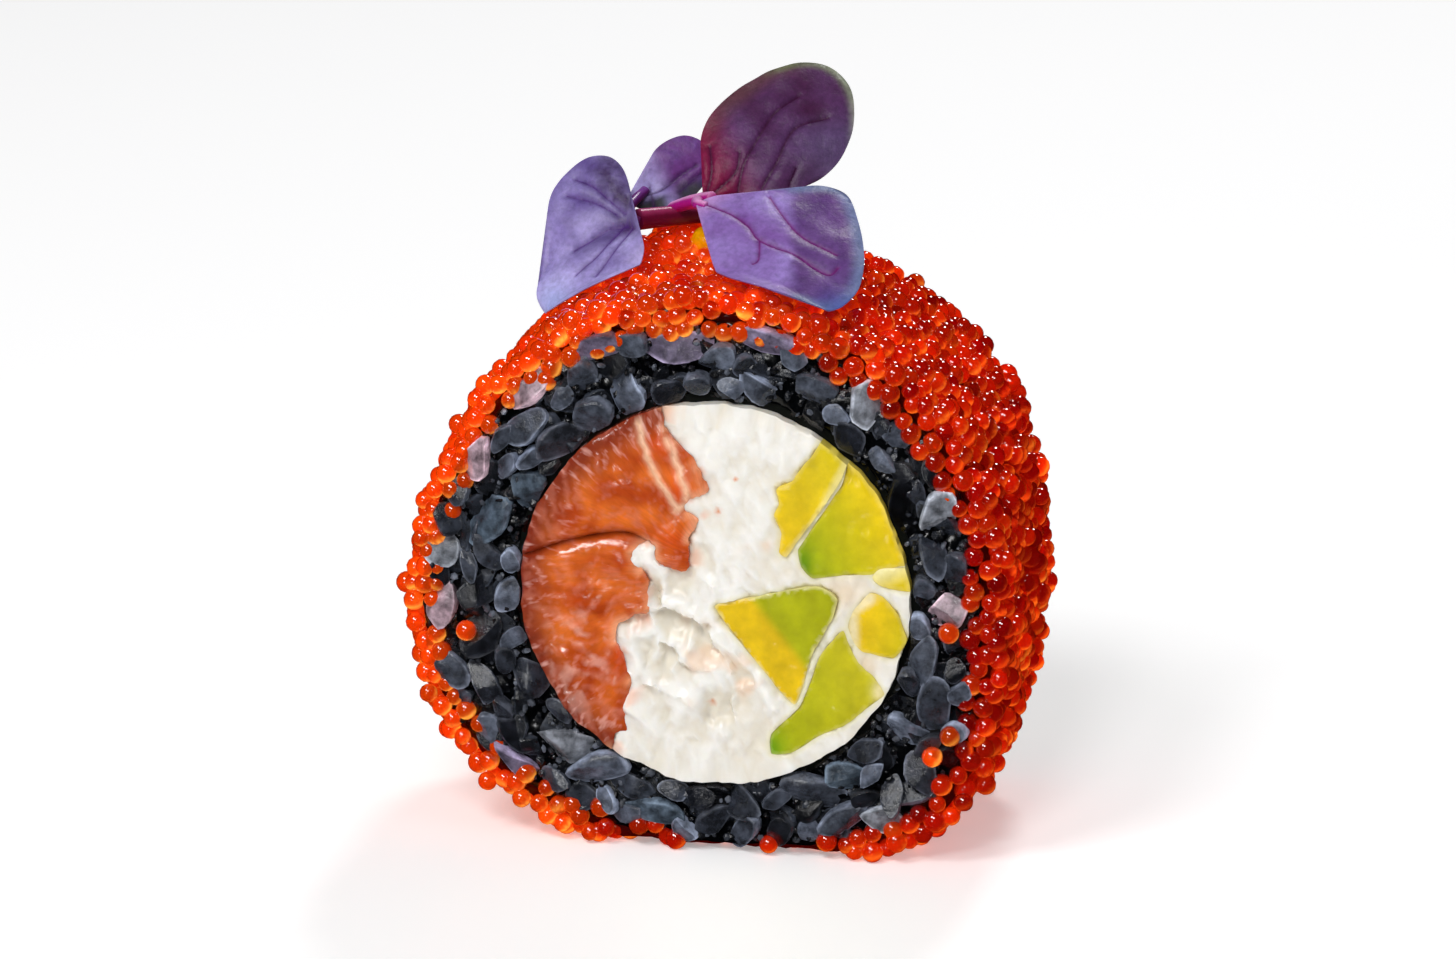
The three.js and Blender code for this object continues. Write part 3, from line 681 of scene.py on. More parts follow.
# %% [markdown]
# ### The shape of a grain
# A cut grain is a plate: an oval with a few straight sides where its neighbours press it, a
# slightly domed front with one or two flat cuts, and a rim that turns down quickly. We build it
# from rings of points, so its edge stays crisp with few faces.

# %% Shaping the grains
GRAIN_SIDES = 20
SIDE_SHARPNESS = 16  # how tight the corners between a grain's straight sides are
PLATE_RINGS = [0.35, 0.62, 0.8, 0.91, 0.97, 1.0]
PLATE_HEIGHTS = [0.75, 0.7, 0.58, 0.4, 0.15, -0.25]  # mm, the front of a plate without its cuts
PLATE_DEPTH = 0.9  # mm from the middle of a plate to its back
FLAT_CUTS = 3
CUT_SLOPE = 0.3
CUT_HEIGHTS = (0.15, 0.6)  # mm, at the middle of the plate


def plate(length, width):
    """Points of one flat grain that faces -y, and for each how near the rim it lies."""
    turns = np.linspace(0, 2 * math.pi, GRAIN_SIDES, endpoint=False)
    pressed = np.ones(GRAIN_SIDES)
    for _ in range(random.integers(4, 8)):
        facing = np.cos(turns - random.uniform(0, 2 * math.pi)).clip(0)
        pressed += (facing / random.uniform(0.66, 0.95)) ** SIDE_SHARPNESS
    reach = 1.12 * pressed ** (-1 / SIDE_SHARPNESS)
    x = np.outer(PLATE_RINGS, reach * np.cos(turns)) * length / 2
    z = np.outer(PLATE_RINGS, reach * np.sin(turns)) * width / 2
    height = np.repeat(np.array(PLATE_HEIGHTS)[:, None], GRAIN_SIDES, 1)
    top = PLATE_HEIGHTS[0]
    for _ in range(FLAT_CUTS):
        slope = random.normal(0, CUT_SLOPE, 2)
        cut = random.uniform(*CUT_HEIGHTS)
        height = np.minimum(height, cut + slope[0] * x + slope[1] * z)
        top = min(top, cut)
    front = np.column_stack([x.ravel(), -height.ravel(), z.ravel()])
    back = front[-GRAIN_SIDES:] * (0.9, 0, 0.9) + (0, PLATE_DEPTH, 0)
    points = np.concatenate([[(0, -top, 0)], front, back, [(0, PLATE_DEPTH, 0)]])
    rim = np.concatenate([[0], np.repeat(PLATE_RINGS, GRAIN_SIDES), np.ones(GRAIN_SIDES + 1)])
    return points, rim


def plate_faces():
    """Every row has four corners; a three-sided face names its last corner twice."""
    faces = [(0, 1 + side, 1 + (side + 1) % GRAIN_SIDES) for side in range(GRAIN_SIDES)]
    rows = len(PLATE_RINGS) + 1
    for row in range(rows - 1):
        for side in range(GRAIN_SIDES):
            a = 1 + row * GRAIN_SIDES + side
            b = 1 + row * GRAIN_SIDES + (side + 1) % GRAIN_SIDES
            faces.append((a, a + GRAIN_SIDES, b + GRAIN_SIDES, b))
    last = 1 + (rows - 1) * GRAIN_SIDES
    end = last + GRAIN_SIDES
    faces += [(end, last + (side + 1) % GRAIN_SIDES, last + side) for side in range(GRAIN_SIDES)]
    return np.array([face + face[-1:] if len(face) == 3 else face for face in faces])


PLATE_FACES = plate_faces()
print("faces of one grain:", len(PLATE_FACES))

# %% Laying the grains
GRAIN_TILT = 0.22  # radians that a grain leans by chance
GRAIN_UNEVEN = 0.12  # mm that it stands out or back by chance
UNDER_COAT = 0.5  # mm that it may reach under the roe
BAND_GAP = 0.22  # mm round the filling that stay free for the seaweed
GRAIN_FLOOR = 0.15  # mm above the table


def grain_colour(tone, rim):
    """Charcoal to blue-grey; a painted rim light makes the rim a little darker to much lighter."""
    if tone:
        own = np.array(linear(tone))
    else:
        own = mixed(linear("#12141A"), linear("#5A6170"), random.random() ** 1.5)
    # painted highlight: the thin rim of a grain is painted lighter, as light shows there
    edge = smooth_step(0.85, 0.97, rim)
    rim_light = own * random.uniform(0.8, 4.5) + 0.02
    return mixed(own, rim_light, edge)


def rice_grains(side, layers):
    """All grains of one cut face. Each layer has a plan, mm behind the face and a shade."""
    points, faces, colours = [], [], []
    total = 0
    for plan, inset, shade in layers:
        for x, z, length, width, turn, tone in plan:
            shape, rim = plate(length, width)
            lean = np.array(Matrix.Rotation(random.normal(0, GRAIN_TILT), 3, "X"))
            roll = np.array(Matrix.Rotation(random.normal(0, GRAIN_TILT), 3, "Z"))
            swing = np.array(Matrix.Rotation(-turn, 3, "Y"))
            shape = shape @ lean.T @ roll.T @ swing.T
            shape[:, 1] *= -side
            y = side * (FACE - inset + random.normal(0, GRAIN_UNEVEN))
            shape += (x, y, z)
            angle = np.degrees(np.arctan2(shape[:, 2], shape[:, 0]))
            over = np.hypot(shape[:, 0], shape[:, 2]) / (rice_radius(angle) + UNDER_COAT)
            shape[:, (0, 2)] /= np.maximum(over, 1)[:, None]
            from_band = shape[:, (0, 2)] - FILLING_CENTRE
            pushed = np.maximum((FILLING_RADIUS + BAND_GAP) / np.hypot(*from_band.T), 1)
            shape[:, (0, 2)] = from_band * pushed[:, None] + FILLING_CENTRE
            shape[:, 2] = np.maximum(shape[:, 2], GRAIN_FLOOR - AXIS_HEIGHT)
            faces.append((PLATE_FACES if side < 0 else PLATE_FACES[:, ::-1]) + total)
            total += len(shape)
            points.append(shape)
            colours.append(grain_colour(tone, rim) * shade)
    faces = [list(dict.fromkeys(face)) for face in np.concatenate(faces).tolist()]
    points = np.concatenate(points)
    starch = 1 + 0.7 * waves(points, 1.2, 81, 2)  # cloudy patches about a millimetre wide
    return points, faces, np.concatenate(colours) * starch[:, None].clip(0.2)


print("helpers for grains ready")

# %% Rice finish
CLOUD_SIZE = 1.0  # mm, patches of starch in a cut grain
SCRATCH_SIZE = 0.45  # mm; a knife's scratches are finer, but wouldn't show at this distance
SCRATCH_DEPTH = 0.12  # mm
# boiled starch cut by a wet knife: a glassy skin with sharp glints over a cloudy dark body
rice_finish, tree, surface = new_surface(
    "cooked_black_rice", Roughness=0.2, IOR=1.45, Specular_IOR_Level=0.8
)
own = add_node(tree, "ShaderNodeAttribute", attribute_name="grain")
place = add_node(tree, "ShaderNodeTexCoord")
cloud = add_node(
    tree, "ShaderNodeTexNoise", {"Scale": per_mm(CLOUD_SIZE), "Detail": 5.0, "Roughness": 0.65},
    {"Vector": place.outputs["Object"]},
)
veil = add_node(
    tree, "ShaderNodeMapRange", {"From Min": 0.35, "From Max": 0.68, "To Min": 0.45, "To Max": 1.7},
    {"Value": cloud.outputs["Fac"]},
)
shade = add_node(
    tree, "ShaderNodeVectorMath", links={0: own.outputs["Color"], 1: veil.outputs["Result"]},
    operation="MULTIPLY",
)
tree.links.new(shade.outputs["Vector"], surface.inputs["Base Color"])
scratch = add_node(
    tree, "ShaderNodeTexNoise", {"Scale": per_mm(SCRATCH_SIZE), "Detail": 4.0, "Roughness": 0.7},
    {"Vector": place.outputs["Object"]},
)
relief = add_node(
    tree, "ShaderNodeBump", {"Strength": 0.8, "Distance": SCRATCH_DEPTH * MM},
    {"Height": scratch.outputs["Fac"]},
)
tree.links.new(relief.outputs["Normal"], surface.inputs["Normal"])

# %% Grains on both cut faces
# painted shade: the grains farther back are painted much darker
DEEP_LAYER = (deep_plan, 1.1, 0.22)  # farther back and much darker
for side, word, plan in ((-1, "front", front_plan), (1, "back", back_plan)):
    points, faces, colours = rice_grains(side, [DEEP_LAYER, (plan, 0.4, 1.0)])
    make_piece(
        "rice_grains_" + word, points, faces, rice_finish, ["black_rice"],
        {"grain": colours}, sharp=30,
    )

# %% [markdown]
# ### Crumbs between the grains
# Broken ends and burst starch fill the gaps: little glassy crumbs, nearly black, that catch the
# lamps as white glints. Each is a twenty-sided ball, stretched and turned by chance.

# %% Crumbs
CRUMBS = 1300  # on each cut face
CRUMB_RADIUS = (0.13, 0.36)  # mm
CRUMB_STRETCH = (0.6, 1.4)
CRUMB_DEPTH = (0.65, 1.1)  # mm behind the cut face


def crumb_heap(side):
    """Crumbs all over the ring of rice on one cut face."""
    ball = bmesh.new()
    bmesh.ops.create_icosphere(ball, subdivisions=1, radius=1.0)
    shape = np.array([vertex.co[:] for vertex in ball.verts])
    corners = np.array([[vertex.index for vertex in face.verts] for face in ball.faces])
    ball.free()
    angle = random.uniform(0, 360, CRUMBS)
    inner, outer = filling_edge(angle, FILLING_RADIUS + 0.4), rice_radius(angle) - 0.1
    x, z = section(angle, inner + random.random(CRUMBS) * (outer - inner), ROE_UNDER)
    y = side * (FACE - random.uniform(*CRUMB_DEPTH, CRUMBS))
    points, colours = [], []
    for centre in np.stack([x, y, z], 1):
        stretch = random.uniform(*CRUMB_RADIUS) * random.uniform(*CRUMB_STRETCH, 3)
        points.append(centre + (shape * stretch) @ random_turn().T)
        own = mixed(linear("#0A0B0E"), linear("#5C616C"), random.random() ** 3)
        colours.append(np.tile(own, (len(shape), 1)))
    steps = np.arange(CRUMBS)[:, None, None] * len(shape)
    return np.concatenate(points), (corners + steps).reshape(-1, 3), np.concatenate(colours)


for side, word in ((-1, "front"), (1, "back")):
    points, faces, colours = crumb_heap(side)
    make_piece(
        "rice_crumbs_" + word, points, faces, rice_finish, ["black_rice"],
        {"grain": colours}, sharp=30,
    )

# %% [markdown]
# ## Seaweed
# The band between rice and filling is one sheet of toasted seaweed that the rice has wetted. On
# the cut it is only a thin black line that sinks back between its neighbours and wanders a little.
# We make it a closed ring whose edges carry a slow wave.

# %% Seaweed
BAND_COLUMNS = 240
BAND_ROWS = 9  # from the front to the back
BAND_INSET = 1.1  # mm behind the cut face
BAND_WANDER = 0.12  # mm
BAND_SEED = 7
band_turn = np.arange(BAND_COLUMNS) * 2 * math.pi / BAND_COLUMNS


def band_row(radius, y):
    """One edge of the band, which wanders slowly in and out and to and fro."""
    x, z = radius * np.cos(band_turn), radius * np.sin(band_turn)
    row = np.column_stack([x, np.full(BAND_COLUMNS, y), z])
    scale = 1 + BAND_WANDER * waves(row, 2.5, BAND_SEED, 3) / radius
    sunk = BAND_WANDER * waves(row, 1.2, BAND_SEED + 3, 2)
    place = row * np.column_stack([scale, np.ones(BAND_COLUMNS), scale])
    return place + (FILLING_CENTRE[0], 0, FILLING_CENTRE[1]) + sunk[:, None] * (0, 1, 0)


band_face = FACE - BAND_INSET
band_rows = [(FILLING_RADIUS - 0.3, y) for y in np.linspace(-band_face, band_face, BAND_ROWS)]
band_rows += [(NORI_OUTSIDE, y) for y in np.linspace(band_face, -band_face, BAND_ROWS)]
band_points = np.concatenate([band_row(radius, y) for radius, y in band_rows])

# pressed and toasted algae that the rice has wetted: a dull black-green with a faint crinkle
FROND_SIZE = 0.8  # mm, a flake of algae in the sheet
nori_finish, tree, surface = new_surface(
    "damp_seaweed", Roughness=0.45, IOR=1.4, Specular_IOR_Level=0.15
)
place = add_node(tree, "ShaderNodeTexCoord")
frond = add_node(
    tree, "ShaderNodeTexNoise", {"Scale": per_mm(FROND_SIZE), "Detail": 5.0},
    {"Vector": place.outputs["Object"]},
)
tone = add_node(
    tree, "ShaderNodeMix", {"A": rgba("#030404"), "B": rgba("#101410")},
    {"Factor": frond.outputs["Fac"]}, data_type="RGBA",
)
tree.links.new(tone.outputs["Result"], surface.inputs["Base Color"])
crinkle = add_node(
    tree, "ShaderNodeBump", {"Strength": 0.4, "Distance": 0.1 * MM},
    {"Height": frond.outputs["Fac"]},
)
tree.links.new(crinkle.outputs["Normal"], surface.inputs["Normal"])
make_piece(
    "seaweed_band", band_points, ring_faces(len(band_rows), BAND_COLUMNS), nori_finish,
    ["nori_band"], sharp=50,
)

# %% [markdown]
# ## The plan of the cut face
# A knife cuts the filling in one go, so its pieces share their borders: where salmon ends, cheese
# begins. We draw that plan once, as outlines in the round of the filling, and let a triangulation
# that keeps every outline as an edge divide it. Each filling then takes its own triangles, and
# neighbours meet exactly. Extra points set between the outlines carry the relief.

# %% Outlines of the fillings
# x and z in mm from the roll's axis
SALMON_EDGE = [
    (-2.6, 16.5), (-2.4, 14.1), (-2.1, 12.6), (-0.3, 11), (0.5, 9.6), (1.4, 8), (0.1, 7.3),
    (-0.5, 6.2), (0.5, 5.5), (-0.2, 4.1), (-0.3, 2.6), (-0.5, 1.3), (-2, 1.5), (-3, 2.1),
    (-3.2, 3.2), (-4.2, 3.2), (-4.85, 2.1), (-4, 1.1), (-3.6, -0.4), (-3.5, -2), (-4.8, -2.7),
    (-6.1, -3.6), (-5.9, -5.1), (-5.35, -6.5), (-5, -8.4), (-5.45, -10.1), (-5.45, -12),
    (-6.2, -12.5), (-6.4, -13.6), (-7.4, -16),
]
SALMON_CREASE = [(-16, 0.9), (-13.3, 1.8), (-10.8, 2.8), (-7.9, 3.6), (-5.4, 3.9), (-3.9, 3.35)]
AVOCADO = {
    "avocado_strip": [
        (11, 13.6), (12.6, 11.9), (11.6, 9), (9.75, 6.2), (8.3, 4.2), (7.5, 2.9), (6.9, 3.3),
        (7.1, 4.8), (6.5, 6.2), (6.9, 7.2), (6.7, 8.4), (7.9, 9.1), (8.3, 9.7), (9.75, 11.7),
    ],
    "avocado_wedge": [
        (12.8, 11.8), (17, 10), (18.5, 3.3), (16.4, 2.7), (14.3, 1.9), (12, 1.7), (9.6, 1.3),
        (8.6, 2.2), (8.4, 3.6), (9.9, 6), (11.8, 8.9),
    ],
    "avocado_sliver": [
        (14.3, 1.7), (14.9, 2.4), (16.6, 2.6), (18.5, 3.1), (18.5, 0.8), (16.5, 0.7), (14.9, 1.05),
    ],
    "avocado_middle": [
        (1.8, -1.5), (5.3, -0.4), (9.8, 0.7), (11.5, -0.2), (11.1, -2), (9.6, -4.8),
        (8.2, -9.1), (5.2, -5.9),
    ],
    "avocado_right": [
        (12.8, -1.2), (14.1, 0.4), (15.2, 0.1), (16.3, -1.2), (17.1, -3.3), (16, -4.8),
        (13.7, -4.5), (12.9, -3.8), (12.4, -2.5),
    ],
    "avocado_lower": [
        (11.9, -2.9), (12.6, -4.4), (13.4, -5.6), (14.6, -6.6), (15.3, -7.8), (13.7, -9.3),
        (12, -10.7), (10.2, -11.6), (7.9, -13.2), (6.3, -13.4), (6.3, -11.7), (8.6, -9.2),
        (10.2, -5),
    ],
}
print("outlines:", 2 + len(AVOCADO))

# %% Curves through a few points


def curve(points, per_span, closed=True, softness=1.0):
    """A smooth line through a few points; a low softness keeps its corners tight."""
    points = np.asarray(points, float)
    count = len(points)
    ahead = np.roll(points, -1, 0)
    behind = np.roll(points, 1, 0)
    if not closed:
        ahead[-1], behind[0] = points[-1], points[0]
    slope = softness * (ahead - behind) / 2
    t = np.linspace(0, 1, per_span, endpoint=False)[:, None]
    line = []
    for start in range(count if closed else count - 1):
        end = (start + 1) % count
        line.append(
            points[start] * (2 * t**3 - 3 * t**2 + 1) + slope[start] * (t**3 - 2 * t**2 + t)
            + points[end] * (3 * t**2 - 2 * t**3) + slope[end] * (t**3 - t**2)
        )
    if not closed:
        line.append(points[-1:])
    return np.concatenate(line)


def frayed(line, amount, size, seed):
    """The line with small wanderings of a given size, as soft food tears."""
    flat = np.column_stack([line, np.zeros(len(line))])
    sideways = waves(flat, size, seed, 2)
    upward = waves(flat, size, seed + 9, 2)
    return line + amount * np.column_stack([sideways, upward])


def distance_to(points, line):
    """The distance of each point to a line of points."""
    start, end = line[:-1], line[1:]
    along = end - start
    share = ((points[:, None] - start) * along).sum(-1) / (along**2).sum(-1).clip(1e-9)
    nearest = start + share.clip(0, 1)[..., None] * along
    return np.linalg.norm(points[:, None] - nearest, axis=-1).min(1)


def inside(points, outline):
    """Which points lie inside a closed outline."""
    result = np.zeros(len(points), bool)
    for (x0, z0), (x1, z1) in zip(outline, np.roll(outline, -1, 0)):
        crosses = (z0 > points[:, 1]) != (z1 > points[:, 1])
        slant = (x1 - x0) / (z1 - z0) if z1 != z0 else 0.0
        result ^= crosses & (points[:, 0] < x0 + slant * (points[:, 1] - z0))
    return result


salmon_edge = frayed(curve(SALMON_EDGE, 6, closed=False, softness=0.9), 0.2, 0.8, 1)
salmon_crease = curve(SALMON_CREASE, 9, closed=False)
split = int(np.linalg.norm(salmon_edge - salmon_crease[-1], axis=1).argmin())
salmon_crease[-1] = salmon_edge[split]  # the crease runs out exactly on the torn edge
avocado_edges = {
    name: frayed(curve(points, 8, softness=0.55), 0.06, 1.4, 2) for name, points in AVOCADO.items()
}
# each piece of salmon is closed by a corner outside the round
salmon_regions = {
    "salmon_upper": np.concatenate([[(-16, 17)], salmon_edge[: split + 1], salmon_crease[::-1]]),
    "salmon_lower": np.concatenate([[(-16, -17)], salmon_crease, salmon_edge[split:]]),
}
regions = {**avocado_edges, **salmon_regions}
print("points on the salmon's torn edge:", len(salmon_edge))

# %% Dividing the cut face
PLAN_PITCH = 0.29  # mm between the points that carry the relief
PLAN_SCATTER = 0.08  # mm, so that they don't lie in rows
PLAN_ROOM = 0.2  # mm from an outline to the nearest of them
RIM_POINTS = 300
RIM_WANDER = 0.22  # mm, how uneven the round of the filling is


def on_face(points, y):
    """Flat points as places in space at a depth y."""
    return np.column_stack([points[:, 0], np.full(len(points), y), points[:, 1]])


def cut_face_plan():
    """Points and triangles of the round cut face, with each outline kept as edges."""
    turns = np.linspace(0, 2 * math.pi, RIM_POINTS, endpoint=False)
    circle = FILLING_RADIUS * np.column_stack([np.cos(turns), np.sin(turns)])
    uneven = 1 + RIM_WANDER / FILLING_RADIUS * waves(on_face(circle, 0.0), 3.0, 8, 3)
    rim = circle * uneven[:, None] + FILLING_CENTRE
    lines = [(rim, True), (salmon_edge, False), (salmon_crease, False)]
    lines += [(edge, True) for edge in avocado_edges.values()]
    points, edges = [], []
    for line, closed in lines:
        first = len(points)
        points.extend(line.tolist())
        edges.extend((index, index + 1) for index in range(first, len(points) - 1))
        if closed:
            edges.append((len(points) - 1, first))
    taken = kdtree.KDTree(len(points))
    for index, (x, z) in enumerate(points):
        taken.insert((x, z, 0), index)
    taken.balance()
    steps = int(FILLING_RADIUS / PLAN_PITCH) + 1
    for row in range(-steps, steps + 1):
        for column in range(-steps, steps + 1):
            x = (column + row % 2 / 2) * PLAN_PITCH + random.uniform(-PLAN_SCATTER, PLAN_SCATTER)
            z = row * PLAN_PITCH * CLOSE_ROWS + random.uniform(-PLAN_SCATTER, PLAN_SCATTER)
            if math.hypot(x, z) < FILLING_RADIUS - PLAN_ROOM:
                place = (x + FILLING_CENTRE[0], z + FILLING_CENTRE[1])
                if taken.find((*place, 0))[2] > PLAN_ROOM:
                    points.append(place)
    flat = [Vector(point) for point in points]
    found = geometry.delaunay_2d_cdt(flat, edges, [], 0, 1e-5, False)
    return np.array([tuple(point) for point in found[0]]), np.array(found[2]), rim


plan_points, plan_triangles, plan_rim = cut_face_plan()
middles = plan_points[plan_triangles].mean(1)
in_round = inside(middles, plan_rim)
owner = np.full(len(middles), "cream_cheese", dtype=object)
for name, outline in regions.items():
    owner[inside(middles, outline)] = name
plan_triangles, owner = plan_triangles[in_round], owner[in_round]
print("triangles on the plan:", len(plan_triangles))

# %% From the plan to a filling


def filling_solid(name, relief, paint):
    """The points, faces and colours of a filling that runs through the slice.

    relief gives mm out of the cut face and paint gives colours. Both read the flat points and
    their distance from the filling's border.
    """
    triangles = plan_triangles[owner == name]
    used, local = np.unique(triangles, return_inverse=True)
    local = local.reshape(-1, 3)
    flat = plan_points[used]
    a, b, c = flat[local].transpose(1, 0, 2)
    turned = np.cross(b - a, c - a) < 0
    local[turned] = local[turned][:, ::-1]
    sides = np.concatenate([local[:, (0, 1)], local[:, (1, 2)], local[:, (2, 0)]])
    known = {tuple(side) for side in sides.tolist()}
    border = np.array([side for side in sides.tolist() if (side[1], side[0]) not in known])
    tree = kdtree.KDTree(len(border))
    for index, corner in enumerate(border[:, 0]):
        tree.insert((*flat[corner], 0), index)
    tree.balance()
    from_border = np.array([tree.find((*point, 0))[2] for point in flat])
    points, colours = [], []
    for side in (-1, 1):
        height = FACE + relief(flat, from_border, side)
        points.append(np.column_stack([flat[:, 0], side * height, flat[:, 1]]))
        colours.append(paint(flat, from_border, height - FACE))
    count = len(flat)
    front = local.tolist()
    back = (local[:, ::-1] + count).tolist()
    walls = [[b, a, a + count, b + count] for a, b in border.tolist()]
    return np.concatenate(points), front + back + walls, np.concatenate(colours)


def spot(points, x, z, width, height=None):
    """A soft round spot: 1 at its middle and fading out."""
    aside = (points[:, 0] - x) / width
    upward = (points[:, 1] - z) / (height or width)
    return np.exp(-(aside**2) - upward**2)


def ridge_along(points, line, width):
    """1 on a line and fading out on both sides."""
    return np.exp(-((distance_to(points, line) / width) ** 2))


def soft_edge(from_border, width, depth):
    """How far a cut edge is rounded down, in mm."""
    t = (from_border / width).clip(0, 1)
    return depth * (1 - np.sqrt(1 - (1 - t) ** 2))


print("helpers for fillings ready")

# %% [markdown]
# ## Food flesh in one shader
# Salmon, cheese and avocado have this in common: light goes a little way into them, and the
# knife leaves a moist skin. One function makes that base from a few values and reads the painted
# colour of each point. A noise of the food's own size then varies the colour and roughens the
# skin. On the salmon that noise is drawn out into fibres. Leaves, stems and sauce use it as well.

# %% Fibres in a shader
FAN_CENTRE = (2.5, 1.5)  # the salmon's fibres fan out from here
FAN_ARM = 11.0  # mm from that middle to where the fibres have their true width
FIBRE_STRETCH = 2.6  # how much longer than wide a stroke of fibre is
STROKE_SIZE = 0.5  # mm; real fibres are finer, but wouldn't show at this distance


def fan_place(tree, place):
    """Texture coordinates stretched away from the fan's middle, so noise turns into fibres."""
    middle = (FAN_CENTRE[0] * MM, 0, (AXIS_HEIGHT + FAN_CENTRE[1]) * MM)
    away = add_node(
        tree, "ShaderNodeVectorMath", {1: middle}, {0: place.outputs["Object"]},
        operation="SUBTRACT",
    )
    parts = add_node(tree, "ShaderNodeSeparateXYZ", links={"Vector": away.outputs["Vector"]})
    turn = add_node(
        tree, "ShaderNodeMath", links={0: parts.outputs["Z"], 1: parts.outputs["X"]},
        operation="ARCTAN2",
    )
    reach = add_node(
        tree, "ShaderNodeVectorMath", links={0: away.outputs["Vector"]}, operation="LENGTH"
    )
    across_fibre = add_node(
        tree, "ShaderNodeMath", {1: FAN_ARM * MM}, {0: turn.outputs["Value"]}, operation="MULTIPLY"
    )
    along_fibre = add_node(
        tree, "ShaderNodeMath", {1: 1 / FIBRE_STRETCH}, {0: reach.outputs["Value"]},
        operation="MULTIPLY",
    )
    return add_node(
        tree, "ShaderNodeCombineXYZ",
        links={"X": across_fibre.outputs["Value"], "Y": along_fibre.outputs["Value"]},
    )


print("fibres ready")

# %% Flesh shader


def moist_flesh(
    name, scatter, depth, grain_size, grain_height, tint=(0.88, 1.1), strokes=None, **values
):
    """scatter is how far red, green and blue light travel, relative to depth in millimetres.

    The grain's size and height are millimetres, and tint is how much it darkens and lightens.
    strokes gives the colour of pale fibres, partly painted glints, drawn where the attribute
    "strokes" asks for them.
    """
    material, tree, surface = new_surface(
        name, Subsurface_Radius=scatter, Subsurface_Scale=depth * MM, **values
    )
    own = add_node(tree, "ShaderNodeAttribute", attribute_name="flesh")
    place = add_node(tree, "ShaderNodeTexCoord")
    where = fan_place(tree, place).outputs["Vector"] if strokes else place.outputs["Object"]
    grain_pattern = add_node(
        tree, "ShaderNodeTexNoise",
        {"Scale": per_mm(grain_size), "Detail": 4.0, "Roughness": 0.62}, {"Vector": where},
    )
    tone = add_node(
        tree, "ShaderNodeMapRange",
        {"From Min": 0.3, "From Max": 0.7, "To Min": tint[0], "To Max": tint[1]},
        {"Value": grain_pattern.outputs["Fac"]},
    )
    colour = add_node(
        tree, "ShaderNodeVectorMath",
        links={0: own.outputs["Color"], 1: tone.outputs["Result"]}, operation="MULTIPLY",
    )
    skin = colour.outputs["Vector"]
    if strokes:
        asked = add_node(tree, "ShaderNodeAttribute", attribute_name="strokes")
        thin = add_node(
            tree, "ShaderNodeTexNoise", {"Scale": per_mm(STROKE_SIZE), "Detail": 2.0},
            {"Vector": where},
        )
        line = add_node(
            tree, "ShaderNodeMapRange", {"From Min": 0.56, "From Max": 0.7},
            {"Value": thin.outputs["Fac"]},
        )
        share = add_node(
            tree, "ShaderNodeMath", links={0: line.outputs["Result"], 1: asked.outputs["Fac"]},
            operation="MULTIPLY",
        )
        skin = add_node(
            tree, "ShaderNodeMix", {"B": rgba(strokes)},
            {"Factor": share.outputs["Value"], "A": skin}, data_type="RGBA",
        ).outputs["Result"]
    relief = add_node(
        tree, "ShaderNodeBump", {"Strength": 0.6, "Distance": grain_height * MM},
        {"Height": grain_pattern.outputs["Fac"]},
    )
    tree.links.new(skin, surface.inputs["Base Color"])
    tree.links.new(relief.outputs["Normal"], surface.inputs["Normal"])
    return material


print("flesh shader ready")

# %% [markdown]
# ## Cream cheese
# Soft white cheese is spread by the spoon and torn by the knife. Its lower middle broke into small
# flakes, while the rest was wiped smooth. A flake is a plane with a slant of its own: we scatter
# the flakes' middles, give each point of the face to the nearest one and raise it by that slant.
# A few long crests are given as lines, and noise drawn out one way gives the smears of the knife.

# %% Torn and smeared cheese
CHEESE_RIDGES = [
    [(-4.6, 2.0), (-3.2, -1.2), (-0.6, -1.4), (1.0, -3.4), (3.2, -5.2), (5.4, -7.4), (6.6, -9.6)],
    [(-3.2, -1.2), (-5.0, -3.4), (-4.4, -6.4), (-3.0, -8.6)],
    [(-0.6, -1.4), (-0.2, -4.4), (-1.6, -7.0)],
]
cheese_ridges = [frayed(curve(line, 8, closed=False), 0.25, 1.5, 4) for line in CHEESE_RIDGES]


def torn(points):
    """1 where the cheese broke into flakes, in its lower middle."""
    return smooth_step(0.1, 0.7, spot(points, 0.0, -5.0, 8.0, 7.5))


FLAKES = 170
FLAKE_FIELD = 12  # mm, half the width of the square that they are scattered on
FLAKE_SLANT = 0.55
FLAKE_ROUND = 0.7  # mm over which a flake's edge is rounded off
FLAKE_CREST = 0.28  # mm, half the width of the crest between two flakes


def flaked(points, direction, length, seed):
    """Planes with their own slant, drawn out along a direction, and the crests between them."""
    chance = np.random.default_rng(seed)
    turn = math.radians(direction)
    basis = np.array([(math.cos(turn), math.sin(turn)), (-math.sin(turn), math.cos(turn))])
    place = points @ basis.T / (length, 1)
    middles = chance.uniform(-FLAKE_FIELD, FLAKE_FIELD, (FLAKES, 2))
    slant = chance.normal(0, FLAKE_SLANT, (FLAKES, 2))
    gaps = np.linalg.norm(place[:, None] - middles, axis=2)
    nearest = gaps.argmin(1)
    first, second = np.sort(gaps, 1)[:, :2].T
    from_edge = second - first
    plane = ((place - middles[nearest]) * slant[nearest]).sum(1)
    return plane * smooth_step(0, FLAKE_ROUND, from_edge), np.exp(-((from_edge / FLAKE_CREST) ** 2))


def smeared(points, direction, size, length, seed):
    """Noise drawn out along a direction in degrees, as a knife or spoon drags soft food."""
    turn = math.radians(direction)
    along = points @ (math.cos(turn), math.sin(turn)) / length
    aside = points @ (-math.sin(turn), math.cos(turn))
    return waves(np.column_stack([along, aside, np.full(len(points), 0.37 * seed)]), size, seed, 3)


print("flakes on the cheese:", FLAKES)

# %% The cheese's relief


